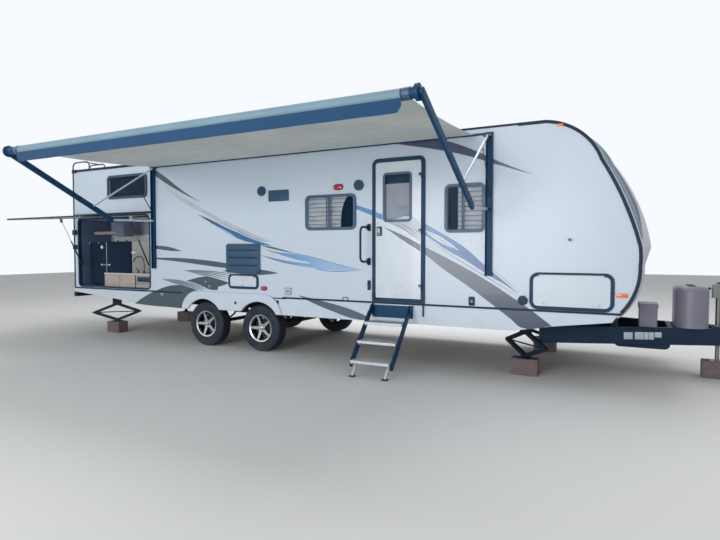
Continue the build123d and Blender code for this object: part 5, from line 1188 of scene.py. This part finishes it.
roofTop = {"vents": (-2.56, -3.81, -8.86), "lidHalf": 0.15, "lid": (3.088, 3.102), "ribs": (-0.07, 0.0, 0.07),
           "ribHalf": (0.12, 0.008), "ribHigh": (3.1, 3.107)}
cooler = {"ribs": (-0.2, -0.1, 0.0, 0.1, 0.2), "run": (-5.2, -4.64), "half": 0.014, "high": (3.262, 3.2703)}
lids, hinges = [], []
half, (bottom, top) = roofTop["lidHalf"], roofTop["lid"]
(long, wide), (foot, crest) = roofTop["ribHalf"], roofTop["ribHigh"]
for x in roofTop["vents"]:
    lids.append(block((x - half, -half, bottom), (x + half, half, top), 0.012, 3))
    lids += [block((x - long, y - wide, foot), (x + long, y + wide, crest), 0.003) for y in roofTop["ribs"]]
    hinges.append(block((x - 0.19, -0.02, 3.06), (x + 0.21, 0.02, 3.08), 0.003))
(rear, front), half, (bottom, top) = cooler["run"], cooler["half"], cooler["high"]
lids += [block((rear, y - half, bottom), (front, y + half, top), 0.002) for y in cooler["ribs"]]
fit("roofLids", "white_cover", "coverPlastic", *lids)
fit("roofHinges", "black_trim", "blackTrim", *hinges)

# drawbar end: coupler latch, eyes of the safety hooks and the jack's crank socket

fit("drawbarFittings", "jack_steel", "braceSteel",
    rod((0.25, 0.0, 0.58), (0.25, 0.0, 0.64), 0.016, 20, 0.003),                  # latch pin and its lever
    block((0.21, -0.018, 0.612), (0.33, 0.018, 0.63), 0.006),
    *[ringAt((0.12, y, 0.47), 0.03, 0.007, 28, 8) for y in (-0.105, 0.105)],
    rod((-0.075, 0.0, 1.06), (-0.105, 0.0, 1.06), 0.014, 20, 0.002),              # crank socket and cap of the jack
    rod((0.0, 0.0, 1.118), (0.0, 0.0, 1.138), 0.018, 20, 0.003))
fit("rearCatches", "black_trim", "slotDark",
    block((-10.064, -1.264, 1.79), (-9.972, -1.228, 1.882), 0.006),
    block((-10.064, -1.256, 1.528), (-9.972, -1.228, 1.612), 0.006))

# kitchen: handles and knobs, the cupboard, the tap, the shelf and the cooktop drawer

doorFace = -1.1055                   # front of the refrigerator and cupboard doors
knobs = {"sign": (-9.452, 1.57), "rail": (-9.452, -9.252), "railHigh": 1.252, "railOut": -1.12,
         "hinges": (-9.795, -9.54), "hingeHigh": 1.65, "seam": (-9.34, -9.328, 0.875, 1.661)}
rear, front = knobs["rail"]
high, out = knobs["railHigh"], knobs["railOut"]
fit("kitchenHandles", "kitchen_steel", "whitePlastic",
    disc((knobs["sign"][0], doorFace, knobs["sign"][1]), 0.03, 0.01, 28, 0.004),
    *[disc((x, doorFace, high), 0.017, 0.018, 24, 0.004) for x in (rear, front)],
    rod((rear, out, high), (front, out, high), 0.0035, 12),
    *[disc((x, doorFace, knobs["hingeHigh"]), 0.01, 0.006, 16) for x in knobs["hinges"]],
    block((-8.7055, -1.095, 1.456), (-8.62, -0.87, 1.49), 0.004),                 # small shelf on the flank
    frameRing(knobs["seam"], (doorFace, -1.1085), 0.002, 0.003))

counterHigh = 1.112
cooker = {"box": (-8.5, -8.142, 0.948, 1.062), "glass": (-8.492, -8.15, 0.975, 1.058), "front": -1.1525,
          "handle": (-8.47, -8.172), "stays": (-8.46, -8.182), "handleOut": -1.172, "handleHigh": 0.966}
front, out, high = cooker["front"], cooker["handleOut"], cooker["handleHigh"]
fit("shelfCupboard", "kitchen_panel", "cupboardPaint",
    plate((-9.172, -8.95, 1.762, 2.055), (-0.837, -1.046), 0.006, 0.002, 3))
fit("cookerGlass", "black_gloss", "slotDark",
    *[rod((x, -1.0, 1.666), (x, -1.0, 1.694), 0.012, 16, 0.002) for x in (-9.171, -8.925)],
    plate(cooker["glass"], (front, -1.156), 0.006, 0.001, 3))
tap = {"spout": [(-8.62, -0.9, counterHigh), (-8.62, -0.9, 1.29), (-8.622, -0.935, 1.38),
                 (-8.626, -1.0, 1.404), (-8.63, -1.07, 1.376), (-8.632, -1.11, 1.305)],
       "radius": 0.009, "collar": (-8.62, -0.9, 1.145), "mixer": (-8.622, -1.02),
       "lever": (-8.626, -1.06, 1.205)}
fit("kitchenTap", "kitchen_steel", "braceSteel", tube(tap["spout"], tap["radius"]),
    rod(tap["spout"][0], tap["collar"], 0.02, 20, 0.003),
    rod((*tap["mixer"], counterHigh), (*tap["mixer"], 1.165), 0.013, 16, 0.002),
    rod((*tap["mixer"], 1.16), tap["lever"], 0.006, 12))
fit("kitchenShelf", "kitchen_steel", "shelfBoard",
    plate((-9.73, -9.17, 1.8, 1.852), (-1.05, -0.7), 0.006, 0.003, 3))
fit("cookerBox", "kitchen_steel", "steelBright", block((-8.5, -1.153, 0.945), (-8.14, -0.864, 1.063), 0.003))
for name in ("kitchenTap", "kitchenShelf", "cookerBox"):
    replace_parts(bpy.data.objects[name], "kitchen_fittings")
fit("cookerTrim", "kitchen_steel", "steelBright",
    frameRing(cooker["box"], (front, -1.158), 0.008, 0.007, 0.001, 3),
    rod((cooker["handle"][0], out, high), (cooker["handle"][1], out, high), 0.0055, 14),
    *[rod((x, -1.156, high), (x, out, high), 0.0045, 12) for x in cooker["stays"]],
    rod((-8.4, -0.85, counterHigh), (-8.4, -0.85, 1.2), 0.01, 16, 0.002))         # post behind the cooktop
fit("counterSeams", "black_trim", "slotDark",
    block((-8.536, -1.1672, 0.872), (-8.524, -1.1655, 1.086)),
    block((-8.52, -1.1672, 0.936), (-8.12, -1.1655, 0.94)))

# stage, light and camera

print("stage: light and camera")
clearSelection()
bpy.ops.mesh.primitive_plane_add(size=60, location=(-5, 0, -0.001))
ground = bake(bpy.context.object)
ground.name = "studioFloor"
groundSkin = Finish("studioFloor", tint(228, 228, 226), 0.85)
cloud = groundSkin.noise(0.6, 3)
groundSkin.feed("Base Color", groundSkin.blendTone(cloud, tint(226, 226, 224), tint(232, 232, 230)))
ground.data.materials.append(groundSkin.material)

world = bpy.data.worlds.new("paleStudio")
scene.world = world
world.use_nodes = True
tree = world.node_tree
back = tree.nodes["Background"]
paths = tree.nodes.new("ShaderNodeLightPath")


def worldMaths(operation, first, second):
    made = tree.nodes.new("ShaderNodeMath")
    made.operation = operation
    for i, value in enumerate((first, second)):
        if isinstance(value, float):
            made.inputs[i].default_value = value
        else:
            tree.links.new(value, made.inputs[i])
    return made.outputs[0]


seen = worldMaths("MAXIMUM", worldMaths("MAXIMUM", paths.outputs["Is Camera Ray"], paths.outputs["Is Glossy Ray"]),
                  paths.outputs["Is Transmission Ray"])
back.inputs["Color"].default_value = (0.93, 0.96, 1.0, 1)
tree.links.new(worldMaths("ADD", worldMaths("MULTIPLY", seen, 0.59), 0.41), back.inputs["Strength"])

lamps = {"front": ((-5.0, -13.0, 2.1), (88, 0, -2), 6.0, 800),                    # place, turn, size, power
         "rear": ((-14.0, -7.0, 6.0), (60, 0, -55), 4.0, 60),
         "over": ((-5.0, 2.0, 9.0), (0, 0, 0), 7.0, 660),
         "nose": ((4.5, -3.5, 4.0), (62, 0, 58), 3.0, 24)}
for name, (place, turn, size, power) in lamps.items():
    lamp = bpy.data.lights.new(name, "AREA")
    lamp.size = size
    lamp.energy = power
    made = bpy.data.objects.new(name, lamp)
    made.location = place
    made.rotation_euler = [math.radians(v) for v in turn]
    scene.collection.objects.link(made)

view = bpy.data.cameras.new("photoView")
view.lens = 26.34
view.sensor_width = 36
camera = bpy.data.objects.new("photoView", view)
camera.location = (-0.938, -7.471, 1.518)
camera.rotation_euler = (math.pi / 2 - 0.038, 0, 0.474)
scene.collection.objects.link(camera)
scene.camera = camera
scene.view_settings.view_transform = "Standard"
